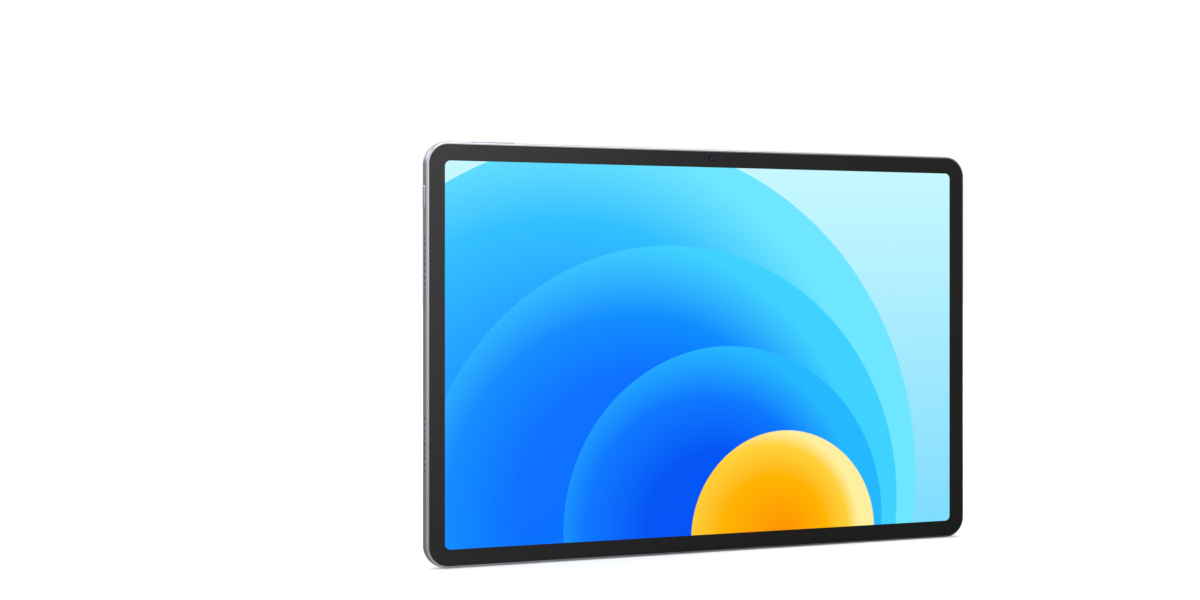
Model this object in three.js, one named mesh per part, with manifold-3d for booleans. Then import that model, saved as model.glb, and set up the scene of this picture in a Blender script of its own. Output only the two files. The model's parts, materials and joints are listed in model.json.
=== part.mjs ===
// Tablet computer of the 11.5-inch class, standing upright on its lower long edge.
// Millimetres. X runs along the long side, the screen faces -Y and +Z is up.
// The origin lies under the middle of the body, on the plane that it stands on.
// The shell opens towards the screen, and everything inside is stacked along Y.

import * as THREE from 'three';
import { mergeVertices } from 'three/addons/utils/BufferGeometryUtils.js';
import Module from 'manifold-3d';

// ---- Driving dimensions -----------------------------------------------------

// Body shell
const BODY_WIDTH = 260.88;
const BODY_HEIGHT = 176.82;
const BODY_THICKNESS = 6.85;
const BODY_CORNER_RADIUS = 9.5;
const REAR_EDGE_RADIUS = 2;
const FRONT_EDGE_RADIUS = 3.6;
const FRONT_EDGE_DEPTH = 1.8; // how far behind the front face the front curve starts
const LIP_CHAMFER = 0.12; // bright cut along the front edge of the shell
const SIDE_WALL = 2;
const REAR_WALL = 0.85;
const FLOOR_FILLET = 0.8; // inner fillet between the rear wall and the side walls

// Cover glass and display, from the front to the rear
const GLASS_INSET = 1.18; // edge of the glass, in from the widest outline of the body
const GLASS_GAP = 0.08; // free gap round the glass
const GLASS_THICKNESS = 0.65;
const GLASS_EDGE = 0.2; // rounding of the front edge of the glass
const ADHESIVE_THICKNESS = 0.2;
const ADHESIVE_WIDTH = 0.7;
const ACTIVE_WIDTH = 245; // picture area
const ACTIVE_HEIGHT = 160.9;
const DISPLAY_SIDE_BORDER = 0.9; // display module beyond the picture area, left and right
const DISPLAY_END_BORDER = 1.2; // the same, top and bottom
const TOUCH_THICKNESS = 0.15;
const LCD_THICKNESS = 0.7;
const GUIDE_THICKNESS = 0.85;
const LED_STRIP_WIDTH = 1.6;
const TRAY_SHEET = 0.2;
const DISPLAY_FLEX_WIDTH = 18;
const DISPLAY_FLEX_X = -30;
const DISPLAY_FLEX_LOOP = 1.6; // how far the ribbon loops above the display
const DISPLAY_FLEX_TAIL = 4; // overlap of the ribbon with the main board

// Fits
const BOND = 0.03; // bond line between pieces that are glued or rest on each other
const SLIP = 0.1; // side gap round a piece that drops into a recess
const SWELL_ROOM = 0.35; // free depth between the battery and the display
const OVERCUT = 1; // how far a cutter runs past the face it opens

// Rear camera
const CAMERA_FROM_LEFT = 21.14; // centre of the plate, from the left end of the body
const CAMERA_FROM_TOP = 15.02;
const PLATE_LENGTH = 29.5;
const PLATE_WIDTH = 16;
const PLATE_PROUD = 1;
const PLATE_CHAMFER = 0.4;
const PLATE_SEAT = 0.35; // depth of the recess that the plate sits in
const LENS_RING_DIAMETER = 13.7;
const LENS_RING_WALL = 0.9;
const LENS_RING_PROUD = 0.3;
const LENS_RING_BEVEL = 0.2;
const LENS_WINDOW_SINK = 0.25; // window below the top of its ring
const LENS_WINDOW_THICKNESS = 0.6;
const LENS_WINDOW_EDGE = 0.1; // rounding of the edge of the window
const CAMERA_BASE = 8.8;
const CAMERA_BASE_CORNER = 0.6;
const CAMERA_BARREL_DIAMETER = 7.2;
const CAMERA_HOLE_DIAMETER = 7.8;
const CAMERA_SCREW_OFFSET = 3; // screw centres, out from the sides of the camera base
const BRACKET_SHEET = 0.25;
const BRACKET_MARGIN = 0.2; // sheet beyond the boss, on each side of a tab
const BRACKET_SHOULDER = 1; // how much wider the lower tab is, towards the side tab

// Front camera and light sensor
const FRONT_CAMERA_WALL_GAP = 0.05; // between the camera holder and the top wall
const FRONT_CAMERA_SIZE = 3;
const FRONT_CAMERA_DEPTH = 2.4;
const FRONT_HOLDER_WALL = 0.35;
const LIGHT_SENSOR_OFFSET = 9;
const LIGHT_SENSOR_SIZE = 1.8;

// Keys
const POWER_KEY_FROM_TOP = 23.07;
const POWER_KEY_LENGTH = 9.7;
const VOLUME_KEY_FROM_LEFT = 29.54;
const VOLUME_KEY_LENGTH = 19.6;
const KEY_WIDTH = 2;
const POWER_KEY_PROUD = 0.4;
const VOLUME_KEY_PROUD = 0.5;
const KEY_EDGE = 0.3; // rounding of the outer edge of a key
const KEY_GAP = 0.12; // gap between a key and its opening
const KEY_FLANGE_THICKNESS = 0.5;
const KEY_FLANGE_SPREAD = 0.6; // flange beyond the key, all round
const KEY_NUB = 0.5; // pusher between the flange and the switch
const KEY_NUB_DIAMETER = 1.6;
const POWER_TRAVEL = 0.3;
const VOLUME_TILT = 1.4; // degrees each way
const VOLUME_SWITCH_SPACING = 13;
const SWITCH_LENGTH = 3;
const SWITCH_WIDTH = 2.6;
const SWITCH_THICKNESS = 0.9;
const DOME_DIAMETER = 2;
const DOME_EDGE = 0.15; // rounding of the dome
const SWITCH_FREE_GAP = 0.06; // left between a fully pressed key and its switch
const CHANNEL_MARGIN = 0.7; // key bracket beyond the flange, at each end
const RIDGE_FOOT = 2.4; // ridge that the volume key rocks on: width at its foot
const RIDGE_CREST = 0.6; // and at its crest
const RIDGE_LENGTH = 1.6; // across the key

// Speakers and USB-C socket
const SLOT_COUNT = 9;
const SLOT_PITCH = 2.725;
const SLOT_LENGTH = 1.7;
const SLOT_WIDTH = 1.2;
const SLOT_ROW_OFFSET = 37.3; // centre of a row, from the middle of the side
const SPEAKER_LENGTH = 34;
const SPEAKER_WIDTH = 19;
const SPEAKER_PORT_DEPTH = 3;
const SPEAKER_RIM_LENGTH = 4.5; // rim round the cone: at its ends
const SPEAKER_RIM_WIDTH = 3.5; // and along its sides
const SPEAKER_CONE_SHIFT = 1; // cone centre, away from the port
const SPEAKER_WELL = 0.4; // depth of the well that the cone moves in
const SPEAKER_SURROUND = 2; // soft ring between the rim and the dome
const SPEAKER_DOME_SINK = 0.1; // top of the dome below the rim
const SPEAKER_DOME_DEPTH = 0.9;
const SPEAKER_DOME_EDGE = 0.25;
const SPEAKER_MESH = 0.2;
const MESH_END_OVERLAP = 1.5; // mesh beyond the row of slots, at each end
const MESH_SIDE_OVERLAP = 0.8; // and along each side
const USB_SHELL_WIDTH = 8.94;
const USB_SHELL_HEIGHT = 3.16;
const USB_SHELL_WALL = 0.28;
const USB_SHELL_SINK = 0.2; // shell end below the side of the body
const USB_TONGUE_WIDTH = 6.7;
const USB_TONGUE_THICKNESS = 0.7;
const USB_TONGUE_SINK = 0.9; // tongue end below the end of the shell
const USB_TONGUE_EDGE = 0.12;
const USB_BASE = 0.9;
const USB_SCREW_OFFSET = 3.6; // screw centres, out from the sides of the socket
const USB_BOARD_LENGTH = 20;
const USB_BOARD_HEIGHT = 30;

// Microphones and antennas
const MIC_HOLE = 0.9;
const MIC_SIDE_Z = 12; // side microphone, above the USB-C socket
const MIC_TOP_X = 35;
const MIC_LENGTH = 3.6;
const MIC_WIDTH = 2.6;
const MIC_THICKNESS = 1;
const ANTENNA_LENGTH = 38;
const ANTENNA_HEIGHT = 3;
const ANTENNA_DEPTH = 2.2;
const ANTENNA_CORNER = 0.5;
const ANTENNA_LEFT_X = -66;
const ANTENNA_RIGHT_X = 85;

// Boards, battery and screws
const BOARD_THICKNESS = 0.7;
const BOARD_STANDOFF = 0.9; // height of the bosses under the boards
const BOARD_FROM_TOP = 5; // below the inner face of the upper wall
const BOARD_LENGTH = 192;
const BOARD_LEFT = -98;
const BOARD_HEIGHT = 36;
const BOARD_ARM_HEIGHT = 20;
const BOARD_BODY_LENGTH = 96;
const BOARD_SCREW_INSET = 3; // screw centres, in from the edges of the main board
const CHIP_THICKNESS = 0.8;
const CHIP_CORNER = 0.3;
// Chips in a row under the shield, each offset from its centre
const CHIPS = [
  { name: 'processor', width: 14, height: 14, offset: -12 },
  { name: 'storage_chip', width: 11.5, height: 13, offset: 6 },
  { name: 'power_chip', width: 6, height: 6, offset: 19 },
];
const SHIELD_LENGTH = 54;
const SHIELD_HEIGHT = 26;
const SHIELD_SHEET = 0.15;
const SHIELD_FROM_LEFT = 44; // centre of the shield, from the left end of the main board
const GRAPHITE_OVERHANG = 10; // graphite beyond each end of the shield
const GRAPHITE_MARGIN = 1; // shield left bare above and below the graphite
const GRAPHITE_CORNER = 3;
const LINK_FLEX_WIDTH = 10;
const LINK_FLEX_INSET = 2; // from the right end of the main board
const LINK_FLEX_OVERLAP = 5; // on each board
const CELL_WIDTH = 78;
const CELL_HEIGHT = 118;
const CELL_CORNER = 1.5;
const CELL_EDGE = 0.3; // rounding of the pouch
const CELL_SPACING = 2;
const CELL_FROM_BOTTOM = 3; // cells above the lower wall
const PROTECTION_LENGTH = 120;
const PROTECTION_HEIGHT = 3.6;
const BATTERY_FLEX_WIDTH = 12;
const BATTERY_FLEX_REACH = 8;
const BATTERY_FLEX_OVERLAP = 1; // ribbon below the middle of the protection board
const BATTERY_FLEX_INSET = 14; // ribbon centre, from the step of the main board
const FLEX_SHEET = 0.12;
const SCREW_SHAFT_DIAMETER = 1.3;
const SCREW_HEAD_DIAMETER = 2.6;
const SCREW_HEAD_THICKNESS = 0.35;
const SCREW_GAP = 0.1; // round the shaft
const BOSS_DIAMETER = 3.4;

// ---- Levels along Y and edges in the X-Z plane -------------------------------

const frontY = -BODY_THICKNESS / 2;
const rearY = BODY_THICKNESS / 2;
const floorY = rearY - REAR_WALL;
const glassRearY = frontY + GLASS_THICKNESS;
const ledgeY = glassRearY + ADHESIVE_THICKNESS + 2 * BOND;
const touchY = glassRearY + BOND;
const lcdY = touchY + TOUCH_THICKNESS + BOND;
const guideY = lcdY + LCD_THICKNESS + BOND;
const trayY = guideY + GUIDE_THICKNESS + BOND;
const trayRearY = trayY + TRAY_SHEET;
const boardRearY = floorY - BOARD_STANDOFF;
const boardY = boardRearY - BOARD_THICKNESS;

const halfWidth = BODY_WIDTH / 2;
const halfHeight = BODY_HEIGHT / 2;
const wallX = halfWidth - SIDE_WALL; // inner faces of the side walls
const wallV = halfHeight - SIDE_WALL;
const cavityRadius = BODY_CORNER_RADIUS - SIDE_WALL;
const displayHalfWidth = ACTIVE_WIDTH / 2 + DISPLAY_SIDE_BORDER;
const displayHalfHeight = ACTIVE_HEIGHT / 2 + DISPLAY_END_BORDER;

// ---- Solid helpers ----------------------------------------------------------

const wasm = await Module();
wasm.setup();

function toSolid(geometry) {
  const bare = geometry.clone();
  bare.deleteAttribute('normal');
  bare.deleteAttribute('uv');
  const merged = mergeVertices(bare, 1e-4);
  const mesh = new wasm.Mesh({
    numProp: 3,
    vertProperties: new Float32Array(merged.attributes.position.array),
    triVerts: new Uint32Array(merged.index.array),
  });
  return new wasm.Manifold(mesh);
}

function toGeometry(solid) {
  const mesh = solid.getMesh();
  const geometry = new THREE.BufferGeometry();
  geometry.setAttribute('position', new THREE.BufferAttribute(mesh.vertProperties, 3));
  geometry.setIndex(new THREE.BufferAttribute(mesh.triVerts, 1));
  geometry.computeVertexNormals();
  return geometry;
}

function cut(geometry, cutters) {
  return toGeometry(cutters.reduce((solid, cutter) => solid.subtract(toSolid(cutter)), toSolid(geometry)));
}

function join(geometries) {
  return toGeometry(geometries.map(toSolid).reduce((solid, other) => solid.add(other)));
}

// ---- Outlines ---------------------------------------------------------------

function rectangle(width, height) {
  const shape = new THREE.Shape();
  shape.moveTo(-width / 2, -height / 2);
  shape.lineTo(width / 2, -height / 2);
  shape.lineTo(width / 2, height / 2);
  shape.lineTo(-width / 2, height / 2);
  shape.closePath();
  return shape;
}

function roundedRectangle(width, height, radius) {
  const x = width / 2 - radius;
  const y = height / 2 - radius;
  const shape = new THREE.Shape();
  [[x, y], [-x, y], [-x, -y], [x, -y]].forEach(([cx, cy], quarter) => {
    shape.absarc(cx, cy, radius, (quarter * Math.PI) / 2, ((quarter + 1) * Math.PI) / 2);
  });
  shape.closePath();
  return shape;
}

// Long along Y of the drawing when tall is true, and along X otherwise.
function stadium(length, width, tall = false) {
  const reach = (length - width) / 2;
  const turn = tall ? Math.PI / 2 : 0;
  const shape = new THREE.Shape();
  for (const start of [-Math.PI / 2, Math.PI / 2]) {
    const side = start < 0 ? reach : -reach;
    const centre = new THREE.Vector2(side, 0).rotateAround(new THREE.Vector2(), turn);
    shape.absarc(centre.x, centre.y, width / 2, start + turn, start + turn + Math.PI);
  }
  shape.closePath();
  return shape;
}

function circle(diameter) {
  const shape = new THREE.Shape();
  shape.absarc(0, 0, diameter / 2, 0, 2 * Math.PI);
  return shape;
}

function polygon(points) {
  return new THREE.Shape(points.map(([x, y]) => new THREE.Vector2(x, y)));
}

function withHoles(shape, holes) {
  shape.holes.push(...holes);
  return shape;
}

function holeAt(x, y, diameter) {
  const path = new THREE.Path();
  path.absarc(x, y, diameter / 2, 0, 2 * Math.PI, true);
  return path;
}

// ---- Extrusions along each axis ---------------------------------------------

const AXIS_X = new THREE.Vector3(1, 0, 0);
const AXIS_Y = new THREE.Vector3(0, 1, 0);
const AXIS_Z = new THREE.Vector3(0, 0, 1);

function extrude(shape, depth, edge, steps) {
  const geometry = new THREE.ExtrudeGeometry(shape, {
    depth: depth - 2 * edge,
    curveSegments: steps,
    bevelEnabled: edge > 0,
    bevelSize: edge,
    bevelThickness: edge,
    bevelOffset: -edge,
    bevelSegments: 2,
  });
  return geometry.translate(0, 0, edge);
}

// The outline lies in X-Z, and the slab runs from y0 to y1.
function slabY(shape, y0, y1, { edge = 0, steps = 4 } = {}) {
  const turn = new THREE.Matrix4().makeBasis(AXIS_X, AXIS_Z, AXIS_Y.clone().negate());
  return extrude(shape, y1 - y0, edge, steps).applyMatrix4(turn).translate(0, y1, 0);
}

// The outline lies in Y-Z, and the slab runs from x0 to x1.
function slabX(shape, x0, x1, { edge = 0, steps = 4 } = {}) {
  const turn = new THREE.Matrix4().makeBasis(AXIS_Y, AXIS_Z, AXIS_X);
  return extrude(shape, x1 - x0, edge, steps).applyMatrix4(turn).translate(x0, 0, 0);
}

// The outline lies in X-Y, and the slab runs from z0 to z1.
function slabZ(shape, z0, z1, { edge = 0, steps = 4 } = {}) {
  return extrude(shape, z1 - z0, edge, steps).translate(0, 0, z0);
}

function box(x0, x1, y0, y1, z0, z1) {
  const geometry = new THREE.BoxGeometry(x1 - x0, y1 - y0, z1 - z0);
  return geometry.translate((x0 + x1) / 2, (y0 + y1) / 2, (z0 + z1) / 2);
}

// ---- Lofts through rounded outlines -----------------------------------------

const CORNER_STEPS = 8;

function outlinePoints(width, height, radius) {
  const points = [];
  const x = width / 2 - radius;
  const z = height / 2 - radius;
  [[x, z], [-x, z], [-x, -z], [x, -z]].forEach(([cx, cz], quarter) => {
    for (let step = 0; step <= CORNER_STEPS; step += 1) {
      const angle = ((quarter + step / CORNER_STEPS) * Math.PI) / 2;
      points.push(new THREE.Vector2(cx + radius * Math.cos(angle), cz + radius * Math.sin(angle)));
    }
  });
  return points;
}

// A closed solid through rings of one outline, each ring { inset, y }, from the rear to the front.
function loft(width, height, radius, rings) {
  const outlines = rings.map(({ inset }) => {
    return outlinePoints(width - 2 * inset, height - 2 * inset, radius - inset);
  });
  const count = outlines[0].length;
  const positions = [];
  outlines.forEach((outline, ring) => outline.forEach((p) => positions.push(p.x, rings[ring].y, p.y)));
  const index = [];
  for (let ring = 0; ring < rings.length - 1; ring += 1) {
    for (let k = 0; k < count; k += 1) {
      const a = ring * count + k;
      const b = ring * count + ((k + 1) % count);
      index.push(a, b, b + count, a, b + count, a + count);
    }
  }
  const last = (rings.length - 1) * count;
  for (const [a, b, c] of THREE.ShapeUtils.triangulateShape(outlines[0], [])) {
    index.push(c, b, a);
  }
  for (const [a, b, c] of THREE.ShapeUtils.triangulateShape(outlines[rings.length - 1], [])) {
    index.push(last + a, last + b, last + c);
  }
  const geometry = new THREE.BufferGeometry();
  geometry.setAttribute('position', new THREE.Float32BufferAttribute(positions, 3));
  geometry.setIndex(index);
  geometry.computeVertexNormals();
  return geometry;
}

// ---- Node placing -----------------------------------------------------------

const tablet = new THREE.Group();
tablet.position.z = halfHeight; // everything inside is measured from the middle of the body

function finish(color, roughness, metalness) {
  return new THREE.MeshStandardMaterial({ color, roughness, metalness });
}

const aluminium = () => finish(0xa3a1ad, 0.42, 1);
const steel = () => finish(0xb9bcc0, 0.35, 1);
const blackPlastic = () => finish(0x1b1c1f, 0.55, 0);
const boardGreen = () => finish(0x123524, 0.5, 0);
const flexAmber = () => finish(0x8a4f16, 0.45, 0);
const chipBlack = () => finish(0x18191b, 0.4, 0);

function add(name, geometry, material, position = [0, 0, 0]) {
  const mesh = new THREE.Mesh(geometry, material);
  mesh.name = name;
  mesh.position.set(...position);
  tablet.add(mesh);
}

// ---- Shared places ----------------------------------------------------------

const plateX = -halfWidth + CAMERA_FROM_LEFT;
const plateV = halfHeight - CAMERA_FROM_TOP;
const lensX = plateX - (PLATE_LENGTH - PLATE_WIDTH) / 2; // the lens shares the centre of the left end
const plateSeatY = rearY - PLATE_SEAT;
const plateFaceY = rearY + PLATE_PROUD;

const powerV = halfHeight - POWER_KEY_FROM_TOP;
const volumeX = -halfWidth + VOLUME_KEY_FROM_LEFT;

const boardTopV = wallV - BOARD_FROM_TOP;
const boardBottomV = boardTopV - BOARD_HEIGHT;
const boardRight = BOARD_LEFT + BOARD_LENGTH;
const boardStepX = BOARD_LEFT + BOARD_BODY_LENGTH;
const boardStepV = boardTopV - BOARD_ARM_HEIGHT;
const boardScrews = [
  [BOARD_LEFT + BOARD_SCREW_INSET, boardTopV - BOARD_SCREW_INSET],
  [BOARD_LEFT + BOARD_SCREW_INSET, boardBottomV + BOARD_SCREW_INSET],
  [boardStepX - BOARD_SCREW_INSET, boardBottomV + BOARD_SCREW_INSET],
  [boardRight - BOARD_SCREW_INSET, boardTopV - BOARD_SCREW_INSET],
];

const bracketReach = CAMERA_BASE / 2 + CAMERA_SCREW_OFFSET; // bracket screws, from the lens centre
const cameraScrews = [
  [lensX + bracketReach, plateV],
  [lensX, plateV - bracketReach],
];
const bracketRearY = trayRearY + SCREW_HEAD_THICKNESS + 3 * SLIP + BRACKET_SHEET;

const usbEndX = halfWidth - USB_SHELL_SINK;
const usbRearX = displayHalfWidth + SLIP;
const usbFootV = USB_SHELL_WIDTH / 2 + USB_SCREW_OFFSET;
const usbBracketX = (usbRearX + wallX) / 2;
const usbScrews = [
  [usbBracketX, usbFootV],
  [usbBracketX, -usbFootV],
];
const usbY = boardRearY - SLIP - USB_SHELL_HEIGHT / 2; // the socket sits level with its board
const usbFootRearY = usbY + USB_SHELL_HEIGHT / 2;

// ---- Rear cover -------------------------------------------------------------

function shellRings() {
  const rings = [];
  const rearSteps = 6;
  for (let step = 0; step <= rearSteps; step += 1) {
    const angle = ((step / rearSteps) * Math.PI) / 2;
    const inset = REAR_EDGE_RADIUS * (1 - Math.sin(angle));
    rings.push({ inset, y: rearY - REAR_EDGE_RADIUS * (1 - Math.cos(angle)) });
  }
  const frontSteps = 4;
  const startY = frontY + FRONT_EDGE_DEPTH;
  const sweep = Math.asin((FRONT_EDGE_DEPTH - LIP_CHAMFER) / FRONT_EDGE_RADIUS);
  for (let step = 0; step <= frontSteps; step += 1) {
    const angle = (step / frontSteps) * sweep;
    const inset = FRONT_EDGE_RADIUS * (1 - Math.cos(angle));
    rings.push({ inset, y: startY - FRONT_EDGE_RADIUS * Math.sin(angle) });
  }
  rings.push({ inset: rings[rings.length - 1].inset + LIP_CHAMFER, y: frontY });
  return rings;
}

function cavity() {
  const steps = 3;
  const rings = [];
  for (let step = 0; step <= steps; step += 1) {
    const angle = ((step / steps) * Math.PI) / 2;
    const inset = FLOOR_FILLET * (1 - Math.sin(angle));
    rings.push({ inset, y: floorY - FLOOR_FILLET * (1 - Math.cos(angle)) });
  }
  rings.push({ inset: 0, y: frontY - OVERCUT });
  return loft(2 * wallX, 2 * wallV, cavityRadius, rings);
}

function glassRebate() {
  const inset = GLASS_INSET - GLASS_GAP;
  const rings = [{ inset, y: ledgeY }, { inset, y: frontY - OVERCUT }];
  return loft(BODY_WIDTH, BODY_HEIGHT, BODY_CORNER_RADIUS, rings);
}

function speakerSlots() {
  const slots = [];
  for (const side of [-1, 1]) {
    const x0 = side < 0 ? -halfWidth - OVERCUT : wallX - OVERCUT;
    const x1 = side < 0 ? -wallX + OVERCUT : halfWidth + OVERCUT;
    for (const row of [-1, 1]) {
      for (let k = 0; k < SLOT_COUNT; k += 1) {
        const v = row * SLOT_ROW_OFFSET + (k - (SLOT_COUNT - 1) / 2) * SLOT_PITCH;
        const slot = slabX(stadium(SLOT_LENGTH, SLOT_WIDTH, true), x0, x1, { steps: 3 });
        slots.push(slot.translate(0, 0, v));
      }
    }
  }
  return slots;
}

function keyOpenings() {
  const width = KEY_WIDTH + 2 * KEY_GAP;
  const powerOutline = stadium(POWER_KEY_LENGTH + 2 * KEY_GAP, width, true);
  const volumeOutline = stadium(VOLUME_KEY_LENGTH + 2 * KEY_GAP, width);
  const power = slabX(powerOutline, -halfWidth - OVERCUT, -wallX + OVERCUT);
  const volume = slabZ(volumeOutline, wallV - OVERCUT, halfHeight + OVERCUT);
  return [power.translate(0, 0, powerV), volume.translate(volumeX, 0, 0)];
}

function portOpenings() {
  const usb = stadium(USB_SHELL_WIDTH + 2 * SLIP, USB_SHELL_HEIGHT + 2 * SLIP, true);
  return [
    slabX(usb, wallX - OVERCUT, halfWidth + OVERCUT).translate(0, usbY, 0),
    slabX(circle(MIC_HOLE), wallX - OVERCUT, halfWidth + OVERCUT).translate(0, 0, MIC_SIDE_Z),
    slabZ(circle(MIC_HOLE), wallV - OVERCUT, halfHeight + OVERCUT).translate(MIC_TOP_X, 0, 0),
  ];
}

function cameraOpenings() {
  const seat = stadium(PLATE_LENGTH + 2 * SLIP, PLATE_WIDTH + 2 * SLIP);
  return [
    slabY(seat, plateSeatY, rearY + OVERCUT, { steps: 8 }).translate(plateX, 0, plateV),
    slabY(circle(CAMERA_HOLE_DIAMETER), floorY - OVERCUT, rearY, { steps: 12 }).translate(lensX, 0, plateV),
  ];
}

function boss(x, v, topY) {
  return slabY(circle(BOSS_DIAMETER), topY, floorY + REAR_WALL / 3, { steps: 6 }).translate(x, 0, v);
}

function bossHole(x, v, topY) {
  const hole = circle(SCREW_SHAFT_DIAMETER + 2 * SCREW_GAP);
  return slabY(hole, topY - OVERCUT, floorY, { steps: 5 }).translate(x, 0, v);
}

const bossList = [
  ...boardScrews.map(([x, v]) => [x, v, boardRearY + BOND]),
  ...cameraScrews.map(([x, v]) => [x, v, bracketRearY + BOND]),
  ...usbScrews.map(([x, v]) => [x, v, usbFootRearY + BOND]),
];

function rearCover() {
  const outer = loft(BODY_WIDTH, BODY_HEIGHT, BODY_CORNER_RADIUS, shellRings());
  const hollow = cut(outer, [cavity(), glassRebate()]);
  const withBosses = join([hollow, ...bossList.map((place) => boss(...place))]);
  const openings = [...speakerSlots(), ...keyOpenings(), ...portOpenings(), ...cameraOpenings()];
  return cut(withBosses, [...openings, ...bossList.map((place) => bossHole(...place))]);
}

add('rear_cover', rearCover(), aluminium());

// ---- Cover glass and display stack --------------------------------------------

function coverGlass() {
  const rings = [
    { inset: GLASS_INSET, y: glassRearY },
    { inset: GLASS_INSET, y: frontY + GLASS_EDGE },
    { inset: GLASS_INSET + GLASS_EDGE / 3, y: frontY + GLASS_EDGE / 3 },
    { inset: GLASS_INSET + GLASS_EDGE, y: frontY },
  ];
  return loft(BODY_WIDTH, BODY_HEIGHT, BODY_CORNER_RADIUS, rings);
}

function adhesiveFrame() {
  const outer = GLASS_INSET + SLIP;
  const inner = outer + ADHESIVE_WIDTH;
  const frame = roundedRectangle(BODY_WIDTH - 2 * outer, BODY_HEIGHT - 2 * outer, BODY_CORNER_RADIUS - outer);
  const hole = roundedRectangle(BODY_WIDTH - 2 * inner, BODY_HEIGHT - 2 * inner, BODY_CORNER_RADIUS - inner);
  return slabY(withHoles(frame, [hole]), glassRearY + BOND, glassRearY + BOND + ADHESIVE_THICKNESS);
}

function displaySheet(margin, y0, y1) {
  const outline = rectangle(2 * (displayHalfWidth - margin), 2 * (displayHalfHeight - margin));
  return slabY(outline, y0, y1);
}

const trayLining = TRAY_SHEET + SLIP; // sheets inside the rim of the tray

function lightGuide() {
  const bottom = -displayHalfHeight + trayLining + LED_STRIP_WIDTH + SLIP;
  const reach = displayHalfWidth - trayLining;
  return box(-reach, reach, guideY, guideY + GUIDE_THICKNESS, bottom, displayHalfHeight - trayLining);
}

function ledStrip() {
  const reach = displayHalfWidth - trayLining;
  const bottom = -displayHalfHeight + trayLining;
  return box(-reach, reach, guideY, guideY + GUIDE_THICKNESS, bottom, bottom + LED_STRIP_WIDTH);
}

function displayTray() {
  const pan = displaySheet(0, lcdY, trayRearY);
  const inside = displaySheet(TRAY_SHEET, lcdY - OVERCUT, trayY);
  return cut(pan, [inside]);
}

function displayFlex() {
  const reachV = displayHalfHeight + DISPLAY_FLEX_LOOP;
  const endV = boardTopV - DISPLAY_FLEX_TAIL;
  const y0 = lcdY;
  const y1 = boardY - BOND;
  const s = FLEX_SHEET;
  const strip = polygon([
    [y0, displayHalfHeight + SLIP],
    [y0 + s, displayHalfHeight + SLIP],
    [y0 + s, reachV - s],
    [y1 - s, reachV - s],
    [y1 - s, endV],
    [y1, endV],
    [y1, reachV],
    [y0, reachV],
  ]);
  return slabX(strip, DISPLAY_FLEX_X - DISPLAY_FLEX_WIDTH / 2, DISPLAY_FLEX_X + DISPLAY_FLEX_WIDTH / 2);
}

add('cover_glass', coverGlass(), finish(0x1f2022, 0.06, 0));
add('display_adhesive', adhesiveFrame(), finish(0x141416, 0.8, 0));
add('touch_sensor', displaySheet(0, touchY, touchY + TOUCH_THICKNESS), finish(0x30363c, 0.2, 0));
add('lcd_panel', displaySheet(trayLining, lcdY, lcdY + LCD_THICKNESS), finish(0x2a9bf2, 0.25, 0));
add('light_guide', lightGuide(), finish(0xe8eef2, 0.3, 0));
add('led_strip', ledStrip(), finish(0xf2e7b8, 0.4, 0));
add('display_tray', displayTray(), steel());
add('display_flex', displayFlex(), flexAmber());

// ---- Rear camera --------------------------------------------------------------

const plateHoleDiameter = LENS_RING_DIAMETER + 2 * SLIP;
const ringInnerDiameter = LENS_RING_DIAMETER - 2 * LENS_RING_WALL;
const ringTopY = plateFaceY + LENS_RING_PROUD;
const windowTopY = ringTopY - LENS_WINDOW_SINK;
const windowRearY = windowTopY - LENS_WINDOW_THICKNESS;
const cameraBarrelTopY = windowRearY - SLIP;

function cameraPlate() {
  const y0 = plateSeatY + BOND;
  const rest = slabY(stadium(PLATE_LENGTH, PLATE_WIDTH), y0, plateFaceY - PLATE_CHAMFER, { steps: 8 });
  const crown = slabY(stadium(PLATE_LENGTH, PLATE_WIDTH), y0, plateFaceY, { edge: PLATE_CHAMFER, steps: 8 });
  const hole = slabY(circle(plateHoleDiameter), y0 - OVERCUT, plateFaceY + OVERCUT, { steps: 14 });
  return cut(join([rest, crown]), [hole.translate(lensX - plateX, 0, 0)]);
}

function latheY(profile, segments) {
  return new THREE.LatheGeometry(profile.map(([radius, y]) => new THREE.Vector2(radius, y)), segments);
}

function lensRing() {
  const inner = ringInnerDiameter / 2;
  const outer = LENS_RING_DIAMETER / 2;
  const y0 = plateSeatY + BOND;
  const profile = [
    [inner, y0],
    [outer, y0],
    [outer, ringTopY - LENS_RING_BEVEL],
    [outer - LENS_RING_BEVEL, ringTopY],
    [inner + LENS_RING_BEVEL, ringTopY],
    [inner, ringTopY - LENS_RING_BEVEL],
    [inner, y0],
  ];
  return latheY(profile, 36);
}

function lensWindow() {
  const outline = circle(ringInnerDiameter - SLIP);
  return slabY(outline, windowRearY, windowTopY, { edge: LENS_WINDOW_EDGE, steps: 16 });
}

function cameraGasket() {
  const hole = holeAt(0, 0, CAMERA_BARREL_DIAMETER + 4 * SLIP);
  const ring = withHoles(circle(ringInnerDiameter - 4 * SLIP), [hole]);
  return slabY(ring, plateSeatY + BOND, windowRearY - BOND, { steps: 12 });
}

function rearCameraModule() {
  const y0 = bracketRearY + BOND;
  const outline = roundedRectangle(CAMERA_BASE, CAMERA_BASE, CAMERA_BASE_CORNER);
  const base = slabY(outline, y0, floorY - BOND, { steps: 1 });
  const barrel = slabY(circle(CAMERA_BARREL_DIAMETER), y0 + SLIP, cameraBarrelTopY, { steps: 12 });
  return join([base, barrel]);
}

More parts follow.
